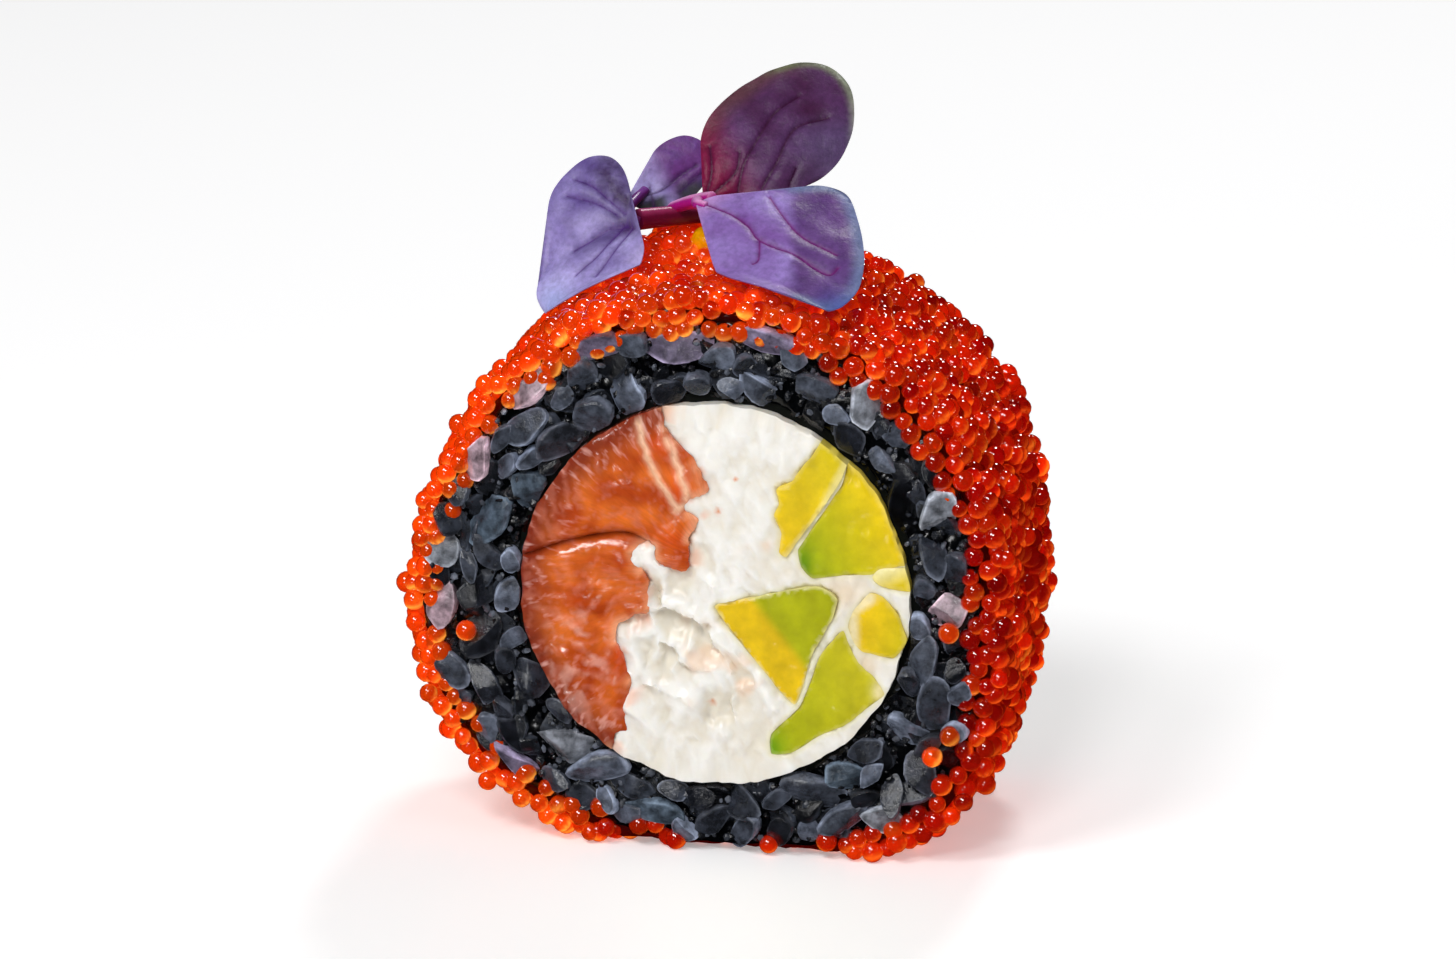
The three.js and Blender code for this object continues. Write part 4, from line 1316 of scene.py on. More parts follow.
def cheese_relief(points, from_border, side):
    """Swells, flakes, hand-drawn crests on the front, crumbs and two ways of smearing."""
    place = on_face(points, side * 7.0)
    wobbly = points + 0.5 * np.column_stack([waves(place, 2.0, 15, 2), waves(place, 2.0, 16, 2)])
    plane, edges = flaked(wobbly, -50, 1.7, 5 + side)
    crumbs = waves(place, 1.2, 12, 3)
    swell = waves(place, 5.0, 13, 2)
    wiped = smeared(points, 70, 1.6, 3.5, 14 + side)
    crest = np.zeros(len(points))
    if side < 0:
        for ridge in cheese_ridges:
            crest = np.maximum(crest, ridge_along(points, ridge, 0.4))
    dragged = smeared(points, -52, 0.8, 3.0, 17 + side)
    broken = torn(points)
    height = 0.22 * swell - 0.1 + broken * (0.7 * plane + 0.3 * edges - 0.14) + 0.5 * crest
    height += 0.09 * crumbs + 0.2 * wiped + 0.16 * dragged
    return height - soft_edge(from_border, 0.3, 0.08)


print("relief of the cheese ready")

# %% The cheese's colours
# x, z and size in mm of orange specks in the cheese
SPECKS = [(2.0, 6.3, 0.22), (1.5, -9.5, 0.2), (7.6, 14.0, 0.18), (3.4, 9.0, 0.15)]


def cheese_paint(points, from_border, height):
    """White with painted shade in hollows, stained where salmon and avocado touch or were dragged.
    """
    place = on_face(points, 3.0)
    # painted light and shade: the white is lighter on the heights, and the hollows get painted shade
    white = mixed(linear("#E9E6DF"), linear("#F4F2EC"), smooth_step(-0.3, 0.4, height))
    hollow_shade = smooth_step(0.05, -0.4, height)
    colour = mixed(white, linear("#E4DAC4"), 0.6 * hollow_shade)
    smear = smooth_step(0.15, 0.6, waves(place, 2.6, 21, 2))
    peach = smear * (
        spot(points, -0.2, -6.1, 3.5) + spot(points, 6.2, 5.1, 2.0, 3.0)
        + spot(points, 4.8, -7.4, 2.4) + spot(points, -0.6, 13.6, 2.2, 1.2)
    )
    colour = mixed(colour, linear("#F0C8A4"), 0.55 * peach)
    for edge in avocado_edges.values():
        oily = smooth_step(0.5, 0.0, distance_to(points, np.concatenate([edge, edge[:1]])))
        colour = mixed(colour, linear("#E8DC90"), 0.45 * oily)
    stain = smooth_step(1.5, 0.1, distance_to(points, salmon_edge))
    colour = mixed(colour, linear("#F2A884"), 0.55 * stain * smooth_step(-0.1, 0.5, smear))
    mash = spot(points, 12.0, 0.3, 2.0, 1.4) + spot(points, 13.8, -5.6, 1.0, 1.2)
    colour = mixed(colour, linear("#E4CFB0"), 0.8 * mash)
    for x, z, size in SPECKS:
        colour = mixed(colour, linear("#E08030"), 0.9 * spot(points, x, z, size))
    return colour


# whipped milk fat wiped by the knife: a creamy white that light enters, with a fatty gloss
cheese_finish = moist_flesh(
    "cream_cheese_spread", (1.0, 0.85, 0.65), 0.9, 1.1, 0.06, tint=(0.97, 1.02),
    Roughness=0.24, IOR=1.4, Subsurface_Weight=0.35, Specular_IOR_Level=0.6,
)
points, faces, colours = filling_solid("cream_cheese", cheese_relief, cheese_paint)
make_piece(
    "cheese_filling", points, faces, cheese_finish, ["cream_cheese"],
    {"flesh": colours}, sharp=60,
)

# %% [markdown]
# ## Raw salmon
# Raw salmon is muscle in thin leaves with fat between. Cut across, its fibres show as fine pale
# strokes that fan out towards the seaweed, clearest near the rim, and the strokes are partly
# painted glints of the wet face. We stretch noise along that fan, press the crease between the two
# pieces as a groove with painted shade along it, and lay two pale lines of fat near the torn edge.
# A painted wet highlight lies low on the left, and a few wet bumps are there only to catch the
# lamps, as the moist cut face does.

# %% Fat, lobes and fibres of the salmon
FAT_LINES = [
    [(-4.3, 13.0), (-3.6, 10.6), (-2.6, 8.4), (-1.3, 6.4)],
    [(-1.9, 11.8), (-1.0, 9.6), (-0.4, 7.6), (-1.3, 6.2)],
]
# x, z, width and height in mm: where the torn edge bulges, and where the face is wettest
LOBES = [
    (-2.5, 11.3, 1.3, 1.0), (-1.0, 7.9, 1.0, 1.3), (-1.8, 3.9, 1.3, 0.9), (-5.6, -5.4, 0.9, 1.6),
]
WET_BUMPS = [
    (-10.5, -6.2, 0.9, 0.6), (-10.0, -10.2, 1.0, 0.6), (-6.4, -8.5, 0.7, 0.9),
    (-9.9, -11.9, 0.9, 0.5), (-8.0, -1.9, 1.2, 0.5), (-11.9, 5.4, 0.6, 0.9), (-7.4, 9.6, 0.5, 0.8),
]
fat_lines = [frayed(curve(line, 8, closed=False), 0.2, 1.0, 6) for line in FAT_LINES]
FAN_SWAY = 0.12  # radians that the fibres sway on their way out


def fibres(points, size, seed):
    """Noise stretched along the fan: long outward, fine across."""
    away = points - FAN_CENTRE
    reach = np.hypot(*away.T)
    turn = np.arctan2(away[:, 1], away[:, 0]) + FAN_SWAY * np.sin(reach * 0.9)
    stretched = np.column_stack([turn * 9.0 / size, reach * 0.55, np.full(len(points), seed * 1.7)])
    return waves(stretched, 1.0, seed, 3)


def fatty(points, width):
    """1 on a line of fat and fading out beside it."""
    return np.max([ridge_along(points, line, width) for line in fat_lines], 0)


print("lines of fat:", len(fat_lines))

# %% The salmon's relief and colours


def salmon_relief(points, from_border, side):
    """Soft swells and fibres, with the lobes and wet bumps raised and the crease pressed in."""
    crease = ridge_along(points, salmon_crease, 0.55)
    lobes = sum(spot(points, *lobe) for lobe in LOBES)
    swell = waves(on_face(points, side * 4.0), 4.5, 31, 2)
    fat = fatty(points, 0.35)
    wet = sum(spot(points, *bump) for bump in WET_BUMPS)
    height = 0.1 + 0.28 * swell + 0.1 * fibres(points, 0.8, 32) + 0.35 * lobes + 0.45 * wet
    return height - 0.75 * crease - 0.15 * fat - soft_edge(from_border, 0.5, 0.15)


def salmon_paint(points, from_border, height):
    """Orange, brown at the rim, with pale fibres and white fat.

    Painted light: glints among the pale fibres and a wet highlight low on the left. Painted shade
    darkens the crease.
    """
    streak = fibres(points, 0.5, 33)
    tone = waves(on_face(points, 5.0), 3.0, 34, 3)
    colour = mixed(linear("#B0400C"), linear("#DE6C22"), 0.5 + 0.8 * tone)
    from_rim = FILLING_RADIUS - np.hypot(*(points - FILLING_CENTRE).T)
    rim = smooth_step(3.2, 0.2, from_rim) * smooth_step(2, -2, points[:, 0])
    colour = mixed(colour, linear("#74261C"), 0.85 * rim)
    # pale fibres, partly painted glints
    colour = mixed(colour, linear("#D8826C"), 0.3 * smooth_step(0.1, 0.5, streak))
    # painted highlight: a pale wet patch low on the left
    painted_wet_highlight = smooth_step(0.0, 0.6, fibres(points, 0.9, 35)) * spot(points, -9.0, -6.5, 3.2, 5.0)
    colour = mixed(colour, linear("#F0BCAC"), 0.5 * painted_wet_highlight)
    lobes = sum(spot(points, *lobe) for lobe in LOBES)
    colour = mixed(colour, linear("#D4480C"), 0.7 * lobes)
    fat = fatty(points, 0.28)
    colour = mixed(colour, linear("#FFD8B4"), 0.75 * fat)
    # painted shade along the crease between the two pieces
    dark = ridge_along(points, salmon_crease, 0.35)
    colour = mixed(colour, linear("#8A2C10"), 0.7 * dark)
    milky = smooth_step(0.9, 0.0, distance_to(points, salmon_edge))
    return mixed(colour, linear("#F4B48C"), 0.6 * milky * smooth_step(-0.3, 0.3, tone))


print("relief and colours of the salmon ready")

# %% Salmon finish and pieces
# pale fibre strokes, partly painted glints, show near the rim
STROKED_WIDTH = 4.5  # mm from the rim inwards in which pale strokes show
# raw muscle cut by a wet blade: a clear wet gloss over flesh that glows red a little way in
salmon_finish = moist_flesh(
    "raw_salmon", (1.0, 0.38, 0.16), 1.2, 0.5, 0.1, tint=(0.86, 1.16), strokes="#F2BEB2",
    Roughness=0.15, IOR=1.45, Subsurface_Weight=0.12, Specular_IOR_Level=1.0,
)
for name in ("salmon_upper", "salmon_lower"):
    points, faces, colours = filling_solid(name, salmon_relief, salmon_paint)
    from_rim = FILLING_RADIUS - np.hypot(*(points[:, (0, 2)] - FILLING_CENTRE).T)
    stroked = 0.5 * smooth_step(STROKED_WIDTH, 1.0, from_rim)
    piece_name = name.replace("salmon", "salmon_piece")
    make_piece(
        piece_name, points, faces, salmon_finish, [name],
        {"flesh": colours, "strokes": stroked}, sharp=60,
    )

# %% [markdown]
# ## Avocado
# Ripe avocado cuts like butter: flat shining faces with soft rounded edges, yellow near the stone
# and green under the skin. Each piece gets its own height out of the face and its own run from
# yellow to green; everything else is shared.

# %% Colours of the avocado
YELLOW, GREEN, PALE = linear("#E8C200"), linear("#A8B000"), linear("#F3EDB8")
CREAMY = linear("#F0E2B8")  # avocado mashed into cheese
STRIP_SEAM = np.array([(12.7, 11.6), (10.0, 6.1), (7.6, 2.9)])  # where the strip meets the wedge
RIGHT_SEAM = np.array([(14.1, 0), (12.7, -1), (12.8, -3.8)])  # the smeared side of the right piece


def across(points, start, end):
    """0 at the start point and 1 at the end point, for points between them."""
    start, along = np.array(start), np.subtract(end, start)
    return ((points - start) @ along / (along @ along)).clip(0, 1)


def paint_strip(points, from_border, height):
    colour = mixed(YELLOW, linear("#D6C010"), across(points, (7, 4), (12, 12)))
    pale = smooth_step(0.6, 0.1, distance_to(points, STRIP_SEAM))
    return mixed(colour, PALE, 0.45 * pale)


def paint_wedge(points, from_border, height):
    colour = mixed(GREEN, YELLOW, 1.25 * across(points, (9.0, 3.0), (17.2, 7.2)) - 0.12)
    dark = spot(points, 8.8, 2.4, 0.8, 1.5)
    return mixed(colour, linear("#4E8C00"), 0.8 * dark)


# painted highlight: the sliver is painted paler towards its top
def paint_sliver(points, from_border, height):
    return mixed(linear("#DDC208"), PALE, across(points, (16.5, 1.2), (15.6, 3.0)))


def paint_middle(points, from_border, height):
    boundary = across(points, (4.9, -3.6), (7.9, -1.2))
    colour = mixed(linear("#E0BA00"), linear("#A8AA00"), smooth_step(0.34, 0.6, boundary))
    return mixed(colour, PALE, 0.5 * smooth_step(0.25, 0.0, from_border))


def paint_right(points, from_border, height):
    colour = mixed(linear("#E0BC00"), linear("#C8B400"), across(points, (14, -2), (17, -3)))
    pale = smooth_step(0.8, 0.15, distance_to(points, RIGHT_SEAM))
    return mixed(colour, CREAMY, 0.85 * pale)


def paint_lower(points, from_border, height):
    colour = mixed(linear("#AEB000"), linear("#C2B810"), across(points, (8, -9), (13, -7)))
    colour = mixed(colour, linear("#4F9A00"), 0.9 * spot(points, 6.0, -13.4, 1.4, 2.2))
    return mixed(colour, CREAMY, 0.8 * spot(points, 15.0, -7.6, 0.6, 0.9))


print("colours of the avocado ready")

# %% Avocado finish and pieces
AVOCADO_LOOKS = {
    # mm that the piece stands out of the face, how it leans in x and z, and its colours
    "avocado_strip": (0.22, (0.03, 0.02), paint_strip),
    "avocado_wedge": (-0.1, (0.0, -0.03), paint_wedge),
    "avocado_sliver": (0.05, (0.0, 0.0), paint_sliver),
    "avocado_middle": (0.15, (0.02, 0.01), paint_middle),
    "avocado_right": (0.1, (0.0, 0.02), paint_right),
    "avocado_lower": (-0.1, (0.02, 0.0), paint_lower),
}
# soft oily flesh cut clean: a buttery sheen, and colour that light hardly leaves
avocado_finish = moist_flesh(
    "ripe_avocado", (1.0, 0.9, 0.25), 0.8, 1.1, 0.08, tint=(0.9, 1.08),
    Roughness=0.24, IOR=1.45, Subsurface_Weight=0.05, Specular_IOR_Level=0.5,
)
for name, (proud, lean, paint) in AVOCADO_LOOKS.items():

    def avocado_relief(points, from_border, side):
        """A nearly flat cut that leans a little, with a soft edge."""
        smear = waves(on_face(points, side * 3.0), 2.2, 41, 3)
        tilt = (points - points.mean(0)) @ lean
        return proud + tilt + 0.15 * smear - soft_edge(from_border, 0.35, 0.12)

    def avocado_paint(points, from_border, height):
        """The piece's own colours in uneven patches, paler along the cut edge."""
        patches = waves(on_face(points, 1.0), 2.4, 43, 3)
        colour = paint(points, from_border, height) * (1 + 0.16 * patches)[:, None]
        return mixed(colour, linear("#E8D890"), 0.3 * smooth_step(0.3, 0.0, from_border))

    points, faces, colours = filling_solid(name, avocado_relief, avocado_paint)
    piece_name = name.replace("avocado", "avocado_piece")
    make_piece(
        piece_name, points, faces, avocado_finish, [name], {"flesh": colours}, sharp=60
    )

# %% [markdown]
# ## Sprouts
# Two pairs of red radish seed leaves lie on the roe. A leaf is flat first: we triangulate its
# outline, then lift it into place along three directions of its own, its midrib, the way across
# and the way its face looks. Where it would sink into the roe it rests on it. Veins are drawn as
# lines on the flat leaf; they press fine grooves into its face and carry their own colour.

# %% Leaf helpers
LEAF_PITCH = 0.3  # mm between points of a leaf
LEAF_SCATTER = 0.06  # mm, so that they don't lie in rows
LEAF_ROOM = 0.16  # mm from the rim to the nearest of them
LEAF_MIDDLE, LEAF_RIM = 0.34, 0.12  # mm, thickness in the middle and at the rim
LEAF_CLEARANCE = 0.95  # mm from the coat to the middle of a leaf that rests on it


def leaf_axes(facing, spin):
    """Directions of a leaf: two that lie in it, turned by spin degrees, and where it faces."""
    azimuth = math.radians(facing[0])
    side = Vector((math.cos(azimuth), math.sin(azimuth), 0))
    face = direction(*facing)
    up = face.cross(side)
    turn = Matrix.Rotation(math.radians(spin), 3, face)
    return np.array(turn @ side), np.array(turn @ up), np.array(face)


def flat_leaf(outline, veins):
    """Points and triangles of a flat leaf, and each point's distance from its rim."""
    edge = curve(outline, 9)
    low, high = edge.min(0), edge.max(0)
    points = edge.tolist()
    for line, width in veins:
        smooth = curve(line, 14, closed=False)
        for shift in (0, width, -width):
            along = np.gradient(smooth, axis=0)
            aside = np.column_stack([-along[:, 1], along[:, 0]])
            aside /= np.linalg.norm(aside, axis=1)[:, None].clip(1e-9)
            points.extend((smooth + shift * aside).tolist())
    for u in np.arange(low[0], high[0], LEAF_PITCH):
        for v in np.arange(low[1], high[1], LEAF_PITCH):
            points.append((u, v) + random.uniform(-LEAF_SCATTER, LEAF_SCATTER, 2))
    points = np.array(points)
    closed_edge = np.concatenate([edge, edge[:1]])
    from_rim = distance_to(points, closed_edge)
    kept = inside(points, edge) & (from_rim > LEAF_ROOM)
    kept[: len(edge)] = True
    points = points[kept]
    count = len(edge)
    sides = [(index, (index + 1) % count) for index in range(count)]
    found = geometry.delaunay_2d_cdt([Vector(p) for p in points], sides, [], 1, 1e-5, False)
    flat = np.array([tuple(point) for point in found[0]])
    return flat, np.array(found[2]), distance_to(flat, closed_edge)


def vein_depth(points, veins):
    """How deep in a vein each point lies: 1 on its line, 0 away from it."""
    depth = np.zeros(len(points))
    for line, width in veins:
        smooth = curve(line, 6, closed=False)
        depth = np.maximum(depth, ridge_along(points, smooth, width))
    return depth


def rest_on_coat(points, clearance):
    """Lifts points that would come nearer to the coat than the clearance."""
    angle = np.degrees(np.arctan2(points[:, 2], points[:, 0]))
    radius = np.hypot(points[:, 0], points[:, 2])
    lift = np.maximum(coat_radius(angle) + clearance, radius) / radius
    lift[abs(points[:, 1]) > FACE + clearance] = 1
    return points * np.column_stack([lift, np.ones(len(points)), lift])


print("helpers for flat leaves ready")

# %% From a flat leaf to a piece
PUFF = 0.2  # mm that the leaf swells between its veins
VALLEY, VALLEY_WIDTH = 0.12, 0.55  # mm that it sinks along them
RIPPLE = 0.35  # mm that its rim goes up and down
FRONT_GROOVE, BACK_RIB = 0.13, 0.1  # mm that a vein cuts into the front and stands out behind


def make_leaf(name, leaf, stands_for):
    """A leaf with two faces and a rim, bent, placed and painted as its entries say."""
    flat, triangles, from_rim = flat_leaf(leaf["outline"], leaf["veins"])
    midrib, across_leaf, face = leaf_axes(leaf["facing"], leaf["spin"])
    u, v = flat.T
    veins = vein_depth(flat, leaf["veins"])
    puffs = waves(on_face(flat, 2.0), 3.4, 51, 2)
    valleys = vein_depth(flat, [(line, VALLEY_WIDTH) for line, _ in leaf["veins"]])
    ripple = waves(on_face(flat, 4.0), 3.2, 52, 1) * smooth_step(2.2, 0.0, from_rim)
    lifted = leaf["bend"](u, v) + PUFF * puffs - VALLEY * valleys + RIPPLE * ripple
    middle = np.array(leaf["base"]) + u[:, None] * midrib + v[:, None] * across_leaf
    middle = rest_on_coat(middle + lifted[:, None] * face, LEAF_CLEARANCE)
    thick = LEAF_RIM + (LEAF_MIDDLE - LEAF_RIM) * smooth_step(0, 1.5, from_rim)
    front = middle + (thick / 2 - FRONT_GROOVE * veins)[:, None] * face
    back = middle - (thick / 2 + BACK_RIB * veins)[:, None] * face
    count = len(flat)
    a, b, c = flat[triangles[0]]
    if np.cross(b - a, c - a) < 0:
        triangles = triangles[:, ::-1]
    faces = triangles.tolist() + (triangles[:, ::-1] + count).tolist()
    known = {tuple(side) for t in triangles for side in ((t[0], t[1]), (t[1], t[2]), (t[2], t[0]))}
    for side in sorted(known):
        if (side[1], side[0]) not in known:
            faces.append([side[1], side[0], side[0] + count, side[1] + count])
    colour = leaf["paint"](flat, from_rim, veins)
    colours = np.concatenate([colour, colour])
    make_piece(
        name, np.concatenate([front, back]), faces, leaf_finish, [stands_for],
        {"flesh": colours}, sharp=70,
    )


print("leaf helpers ready")

# %% Leaf finish and colours
# a thin juicy leaf with a waxy skin: violet with a soft bloom instead of wet sparks
leaf_finish = moist_flesh(
    "radish_leaf", (1.0, 0.4, 0.9), 0.4, 0.5, 0.1, tint=(0.8, 1.2),
    Roughness=0.38, IOR=1.4, Subsurface_Weight=0.05, Specular_IOR_Level=0.3,
)
# the pale lilac is partly the leaves' own colour and partly painted sheen
LILAC, PALE_LILAC = linear("#5E4A8E"), linear("#B4AAE2")


def mottled(points, size, seed):
    """Soft patches of a size in mm on a flat leaf."""
    return waves(on_face(points, 0.0), size, seed, 2)


# u runs along a leaf and v across it, in mm from where it grows out of its stem
def paint_left_near(points, from_rim, veins):
    u, v = points.T
    colour = mixed(LILAC, PALE_LILAC, 0.5 + 0.45 * mottled(points, 3.2, 61) + 0.05 * v)
    # painted shade: dark patches near where the leaf grows out
    dark = spot(points, 0.0, -2.0, 1.9, 2.8) + 0.8 * spot(points, 0.0, -5.2, 1.8, 1.8)
    colour = mixed(colour, linear("#3C2856"), 0.9 * dark * (0.8 + 0.6 * mottled(points, 1.0, 62)))
    # painted shade along the fold
    fold_shade = smooth_step(1.1, 0.1, abs(v - 0.35 - 0.05 * u)) * smooth_step(7.0, 2.0, u)
    colour = mixed(colour, linear("#4A3670"), 0.75 * fold_shade)
    # painted shade: the darkest spot at the base
    colour = mixed(colour, linear("#3A1450"), 0.9 * spot(points, -0.2, 0.3, 1.1))
    # painted sheen: a pale blue patch near the tip
    colour = mixed(colour, linear("#8FA2D2"), 0.6 * spot(points, 8.0, 3.8, 1.6))
    return mixed(colour, linear("#4C2874"), 0.85 * veins)


def paint_left_far(points, from_rim, veins):
    u, v = points.T
    colour = mixed(PALE_LILAC, linear("#6C3C84"), smooth_step(0.8, 3.2, u + 0.3 * v))
    colour = mixed(colour, linear("#3C3A44"), smooth_step(0.9, -0.6, v) * smooth_step(2.0, 3.4, u))
    colour = mixed(colour, linear("#3A3C3C"), smooth_step(-0.3, -1.0, v) * smooth_step(2.6, 1.2, u))
    colour = mixed(colour, LILAC, 0.3 * smooth_step(0, 0.5, mottled(points, 1.2, 63)))
    return mixed(colour, linear("#3A1450"), 0.8 * veins)


def paint_right_upper(points, from_rim, veins):
    u, v = points.T
    colour = mixed(linear("#3C1034"), linear("#5E3A6C"), 0.5 + 0.5 * mottled(points, 4.0, 64))
    colour = mixed(colour, linear("#54466C"), 0.6 * smooth_step(4, 9, u) * smooth_step(5, 1, v))
    brown = smooth_step(2.2, 0.3, from_rim) * smooth_step(2, 6, v) * smooth_step(11, 6, u)
    colour = mixed(colour, linear("#5E3A3C"), 0.75 * brown)
    green = smooth_step(0.9, 0.1, from_rim) * smooth_step(5.5, 8, u) * smooth_step(3, 6, v)
    colour = mixed(colour, linear("#6E7A52"), 0.7 * green)
    grey = smooth_step(0.6, 0.05, from_rim) * smooth_step(10, 12.5, u)
    colour = mixed(colour, linear("#9AA08E"), 0.7 * grey)
    burgundy = smooth_step(4.0, -0.5, u + 0.15 * v)
    colour = mixed(colour, linear("#7A0A3A"), 0.9 * burgundy)
    return mixed(colour, linear("#36082E"), 0.85 * veins)


def paint_right_lower(points, from_rim, veins):
    u, v = points.T
    wander = 0.5 * mottled(points, 1.5, 67)
    past = smooth_step(-0.7, 0.8, 0.6 * u + 0.8 * v - 5.0 + 0.02 * (u - 5) ** 2 + wander)
    colour = mixed(linear("#6A3A88"), linear("#9A84C8"), 0.5 + 0.4 * mottled(points, 3.2, 65))
    violet = mixed(linear("#42205E"), linear("#704E8C"), 0.5 + 0.5 * mottled(points, 3.2, 66))
    colour = mixed(colour, violet, past)
    rim = smooth_step(1.3, 0.2, from_rim) * past
    colour = mixed(colour, linear("#6C84A8"), 0.65 * rim)
    colour = mixed(colour, linear("#42529C"), 0.8 * spot(points, 16.2, -2.0, 2.2, 2.0))
    base = smooth_step(1.2, -0.6, u)
    colour = mixed(colour, linear("#B88CC4"), 0.7 * base)
    return mixed(colour, linear("#6C1468"), 0.9 * veins)


print("leaf paints ready")

# %% Leaves of the left sprout
# base is where the leaf begins, facing where it looks in degrees round and up; then come its
# outline, its bend in mm out of the flat, and each vein with its width
LEFT_NEAR_LEAF = {
    "base": (-7.7, 0.5, 25.9), "facing": (-6, 44), "spin": -149,
    "outline": [
        (0.4, -0.2), (-0.6, -1.2), (-1.1, -3.0), (-1.1, -4.7), (-0.4, -6.1), (1.2, -6.9),
        (3.2, -6.4), (4.8, -5.3), (5.9, -3.4), (6.5, -1.2), (7.3, 0.0), (8.4, 1.2), (9.0, 2.9),
        (8.5, 4.9), (6.8, 6.3), (3.9, 6.4), (1.3, 5.3), (-0.3, 3.5), (-0.5, 1.6), (0.1, 0.4),
    ],
    "bend": lambda u, v: 0.3 * abs(v) - 0.03 * v**2 - 0.02 * u**2,
    "veins": [
        ([(0.1, 0.2), (1.8, -0.3), (3.7, 0.1), (4.8, 0.2)], 0.2),
        ([(0.0, -0.9), (0.8, -2.4), (1.6, -4.1), (2.7, -5.5)], 0.12),
        ([(0.6, -1.0), (2.0, -2.8), (3.8, -4.4)], 0.12),
        ([(0.7, 0.2), (2.9, 1.7), (4.3, 2.2), (5.4, 2.6)], 0.13),
        ([(-0.2, 0.7), (1.1, 1.6), (2.2, 2.5), (3.9, 3.6)], 0.13),
    ],
    "paint": paint_left_near,
}
LEFT_FAR_LEAF = {
    "base": (-8.0, 6.5, 27.0), "facing": (10, 35), "spin": 12,
    "outline": [
        (-0.7, 0.5), (0.8, 1.5), (1.5, 2.9), (2.9, 3.7), (4.6, 3.7), (5.9, 2.6), (6.0, 0.9),
        (4.6, -0.8), (2.9, -2.0), (1.2, -2.1), (-0.5, -1.3), (-1.0, -0.3),
    ],
    "bend": lambda u, v: 0.3 * abs(v - 0.3) - 0.03 * (u - 3) ** 2,
    "veins": [
        ([(0.2, -0.3), (1.6, -0.1), (3.1, 0.7), (4.7, 1.3)], 0.15),
        ([(3.0, -0.6), (4.5, 0.4), (5.9, 1.0)], 0.15), ([(0.7, 0.4), (0.7, -1.5)], 0.15),
    ],
    "paint": paint_left_far,
}
make_leaf("left_near_leaf", LEFT_NEAR_LEAF, "sprout_left")
make_leaf("left_far_leaf", LEFT_FAR_LEAF, "sprout_left")

# %% Leaves of the right sprout
RIGHT_UPPER_LEAF = {
    "base": (0.0, 0.8, 28.6), "facing": (12, 38), "spin": 18,
    "outline": [
        (-1.8, -0.1), (-1.5, 1.0), (-0.9, 3.0), (-0.3, 5.3), (1.1, 7.0), (3.6, 8.4), (6.6, 9.4),
        (9.4, 9.4), (11.4, 8.2), (12.3, 6.0), (12.0, 3.8), (10.9, 1.4), (8.9, -0.6), (6.4, -1.4),
        (3.8, -1.4), (1.4, -0.8), (-0.6, -0.3),
    ],
    "bend": lambda u, v: 0.9 - 0.018 * (u - 6) ** 2 - 0.03 * (v - 2.5) ** 2,
    "veins": [
        ([(0.9, -0.3), (2.1, 1.7), (4.3, 3.9), (5.8, 5.2), (8.1, 6.1)], 0.14),
        ([(2.8, -0.6), (4.5, 0.9), (6.8, 3.3), (9.7, 3.5)], 0.14),
        ([(4.9, -1.1), (5.9, 0.1)], 0.1), ([(-1.5, 0.1), (1.2, 1.3), (2.1, 2.8)], 0.14),
        ([(-1.4, 0.5), (-0.5, 2.0), (0.1, 4.2)], 0.14), ([(-1.3, -0.1), (0.9, -0.3)], 0.14),
    ],
    "paint": paint_right_upper,
}


def right_lower_bend(u, v):
    """Flat up to its crease and folded down past it."""
    past_crease = (0.6 * u + 0.8 * v - 3.2).clip(0)
    return 0.3 - 0.1 * past_crease - 0.012 * v**2


RIGHT_LOWER_LEAF = {
    "base": (0.3, -1.0, 28.8), "facing": (0, 58), "spin": -38,
    "outline": [
        (-0.9, -2.0), (-0.4, -0.7), (1.0, 1.0), (2.4, 3.0), (3.5, 5.2), (4.7, 6.8), (6.5, 7.1),
        (8.8, 6.0), (11.6, 4.1), (13.6, 2.3), (15.1, 0.2), (15.6, -1.8), (14.7, -3.2),
        (13.0, -4.1), (11.4, -5.1), (9.6, -6.2), (7.2, -6.4), (4.9, -5.6), (2.9, -4.3),
        (1.3, -3.1), (0.0, -2.7),
    ],
    "bend": right_lower_bend,
    "veins": [
        ([
            (-0.5, -1.7), (2.0, -1.1), (4.1, -1.1), (5.8, -1.5), (9.0, -0.7), (12.1, -0.2),
            (12.3, 0.8),
        ], 0.15),
        ([(5.8, -1.5), (7.2, -2.9), (7.2, -3.5)], 0.12),
        ([(2.8, 2.3), (5.4, 1.5), (8.0, 1.1), (11.2, 1.7)], 0.13),
    ],
    "paint": paint_right_lower,
}
make_leaf("right_upper_leaf", RIGHT_UPPER_LEAF, "sprout_right")
make_leaf("right_lower_leaf", RIGHT_LOWER_LEAF, "sprout_right")

# %% [markdown]
# ### Stems
# The stems are juicy and nearly round, magenta, with a paler stripe on top that is a painted
# highlight. Each is a tube drawn along a smooth curve, and its thickness changes on the way. A fork
# joins each stem to its other leaf.

# %% Stems
STEM_SIDES = 16
STEM_RIDGES = 0.06  # share of the thickness that three faint ridges stand out


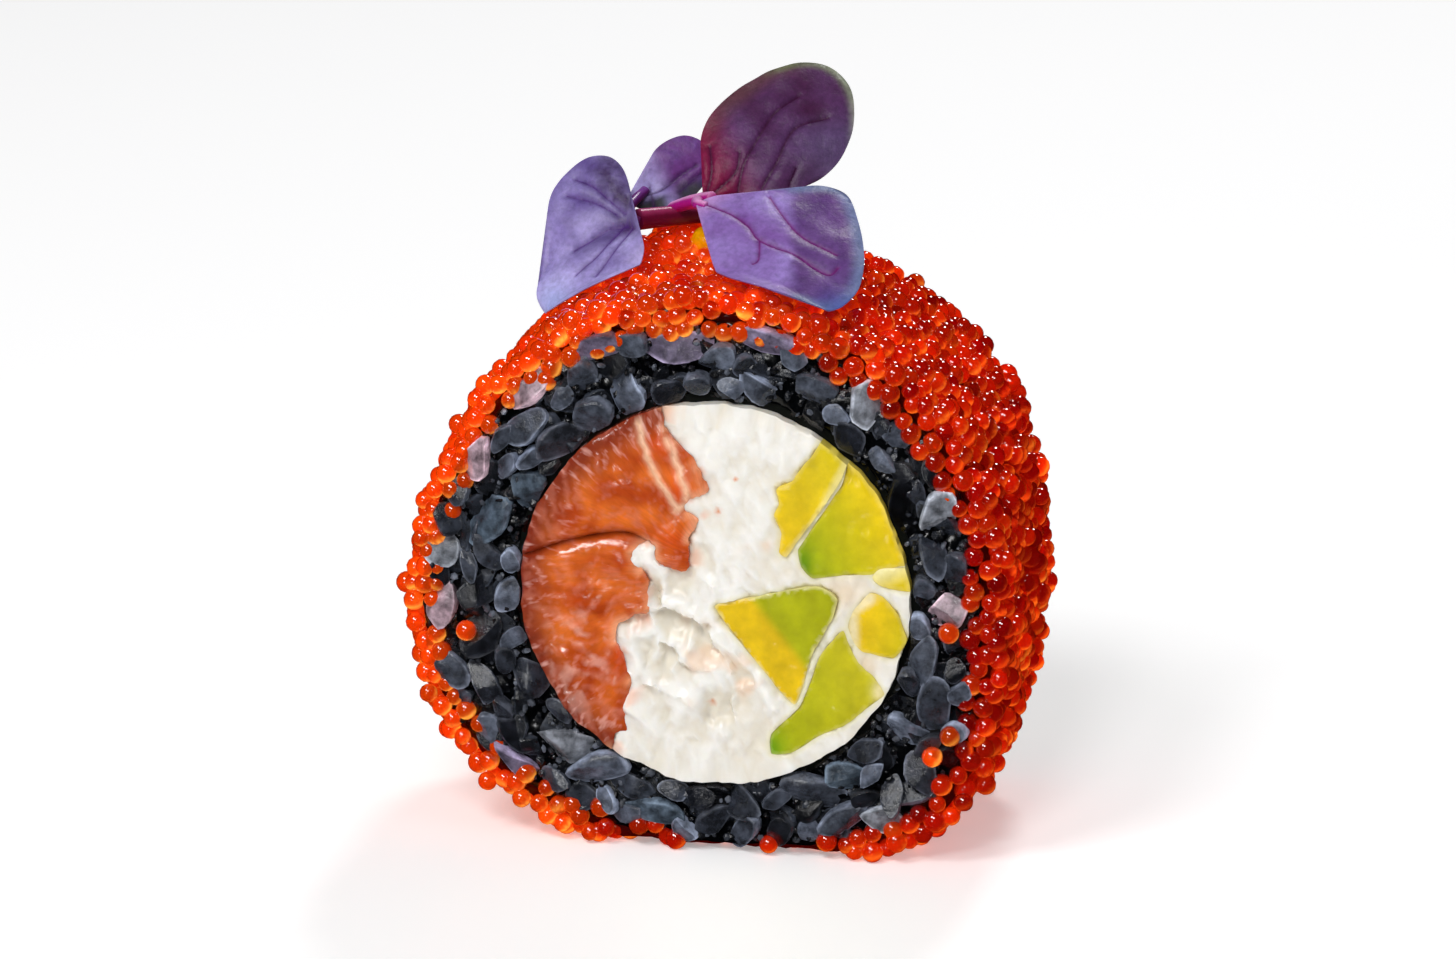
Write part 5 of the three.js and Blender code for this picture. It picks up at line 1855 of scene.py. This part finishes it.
def make_stem(name, path, radii, dark, pale, stands_for):
    """A tube along a path, dark beneath, painted pale on top as a highlight. radii are mm, end to
    end.
    """
    line = curve(path, 10, closed=False)
    thick = np.interp(np.linspace(0, 1, len(line)), np.linspace(0, 1, len(radii)), radii)
    points, faces, colours = [], [], []
    for index, centre in enumerate(line):
        along = Vector(line[min(index + 1, len(line) - 1)] - line[max(index - 1, 0)]).normalized()
        sideways = along.cross(Vector((0, 0, 1))).normalized()
        upward = sideways.cross(along)
        for turn in np.arange(STEM_SIDES) * 2 * math.pi / STEM_SIDES:
            ridge = 1 + STEM_RIDGES * math.cos(3 * turn)
            out = np.array(sideways) * math.cos(turn) + np.array(upward) * math.sin(turn)
            points.append(centre + out * thick[index] * ridge)
            # painted highlight: the upper side of the tube is paler
            top = smooth_step(0.35, 0.95, math.sin(turn))
            colours.append(mixed(linear(dark), linear(pale), 0.9 * top))
    rows = len(line)
    for row in range(rows - 1):
        for side in range(STEM_SIDES):
            a = row * STEM_SIDES + side
            b = row * STEM_SIDES + (side + 1) % STEM_SIDES
            faces.append([a, b, b + STEM_SIDES, a + STEM_SIDES])
    faces.append(list(range(STEM_SIDES))[::-1])
    faces.append([(rows - 1) * STEM_SIDES + side for side in range(STEM_SIDES)])
    make_piece(
        name, points, faces, stem_finish, [stands_for],
        {"flesh": np.array(colours)}, sharp=60,
    )


# a water-filled stalk with a smooth skin: a soft gloss, and light that shows its magenta inside
stem_finish = moist_flesh(
    "radish_stem", (1.0, 0.3, 0.7), 0.8, 0.5, 0.04,
    Roughness=0.28, IOR=1.4, Subsurface_Weight=0.15, Specular_IOR_Level=0.4,
)
LEFT_STEM = [(0.6, 8.4, 24.9), (-2.2, 6.8, 25.5), (-4.8, 3.9, 25.9), (-7.2, 1.3, 26.1)]
LEFT_FORK = [(-7.3, 0.9, 25.9), (-8.5, 3.4, 26.3), (-7.8, 6.8, 27.1)]
RIGHT_STEM = [(-5.0, 4.4, 26.4), (-3.4, 2.6, 27.3), (-1.9, 0.9, 28.0), (-0.9, -0.2, 28.5)]
RIGHT_FORK = [(-2.3, 1.3, 27.8), (-2.0, -0.4, 28.1), (-1.6, -1.7, 28.25), (-0.9, -2.1, 28.3)]
make_stem("left_stem", LEFT_STEM, (0.55, 0.75, 0.85), "#6A0C34", "#A83A6A", "sprout_left")
make_stem("left_fork", LEFT_FORK, (0.6, 0.45, 0.4), "#5A1060", "#8A48A0", "sprout_left")
make_stem("right_stem", RIGHT_STEM, (0.5, 0.55, 0.62, 0.5), "#B01486", "#F0A8DC", "sprout_right")
make_stem("right_fork", RIGHT_FORK, (0.5, 0.5, 0.42, 0.3), "#A01880", "#E09CD0", "sprout_right")

# %% [markdown]
# ## A drop of sauce
# A bead of thick yellow sauce sits beside the stem, half sunk among the roe. It is a ball with
# sides a little uneven, since a thick sauce holds the shape that it fell in.

# %% Sauce
SAUCE_ANGLE, SAUCE_Y = 94.5, 4.2  # degrees round the roll, and mm from the middle of the slice
SAUCE_SIZE = (3.2, 3.0, 2.8)
SAUCE_LIFT = 0.5  # mm from the coat up to its middle
SAUCE_UNEVEN = 0.1
drop = bmesh.new()
bmesh.ops.create_icosphere(drop, subdivisions=5, radius=1.0)
drop_points = np.array([vertex.co[:] for vertex in drop.verts])
drop_faces = [[vertex.index for vertex in face.verts] for face in drop.faces]
drop.free()
drop_points *= (1 + SAUCE_UNEVEN * waves(drop_points, 1.3, 71, 3))[:, None]
drop_points *= np.array(SAUCE_SIZE) / 2
sauce_x, sauce_z = section(SAUCE_ANGLE, coat_radius(SAUCE_ANGLE) + SAUCE_LIFT, 0)
# an emulsion thick with oil: even yellow, glossy, and bright inside where light gets through
sauce_finish = moist_flesh(
    "yellow_sauce", (1.0, 0.7, 0.1), 1.0, 0.35, 0.1,
    Roughness=0.15, IOR=1.45, Subsurface_Weight=0.2,
)
sauce_colours = np.tile(linear("#F2AE00"), (len(drop_points), 1))
make_piece(
    "sauce_drop", drop_points + (sauce_x, SAUCE_Y, sauce_z), drop_faces, sauce_finish,
    ["roe_crust"], {"flesh": sauce_colours},
)
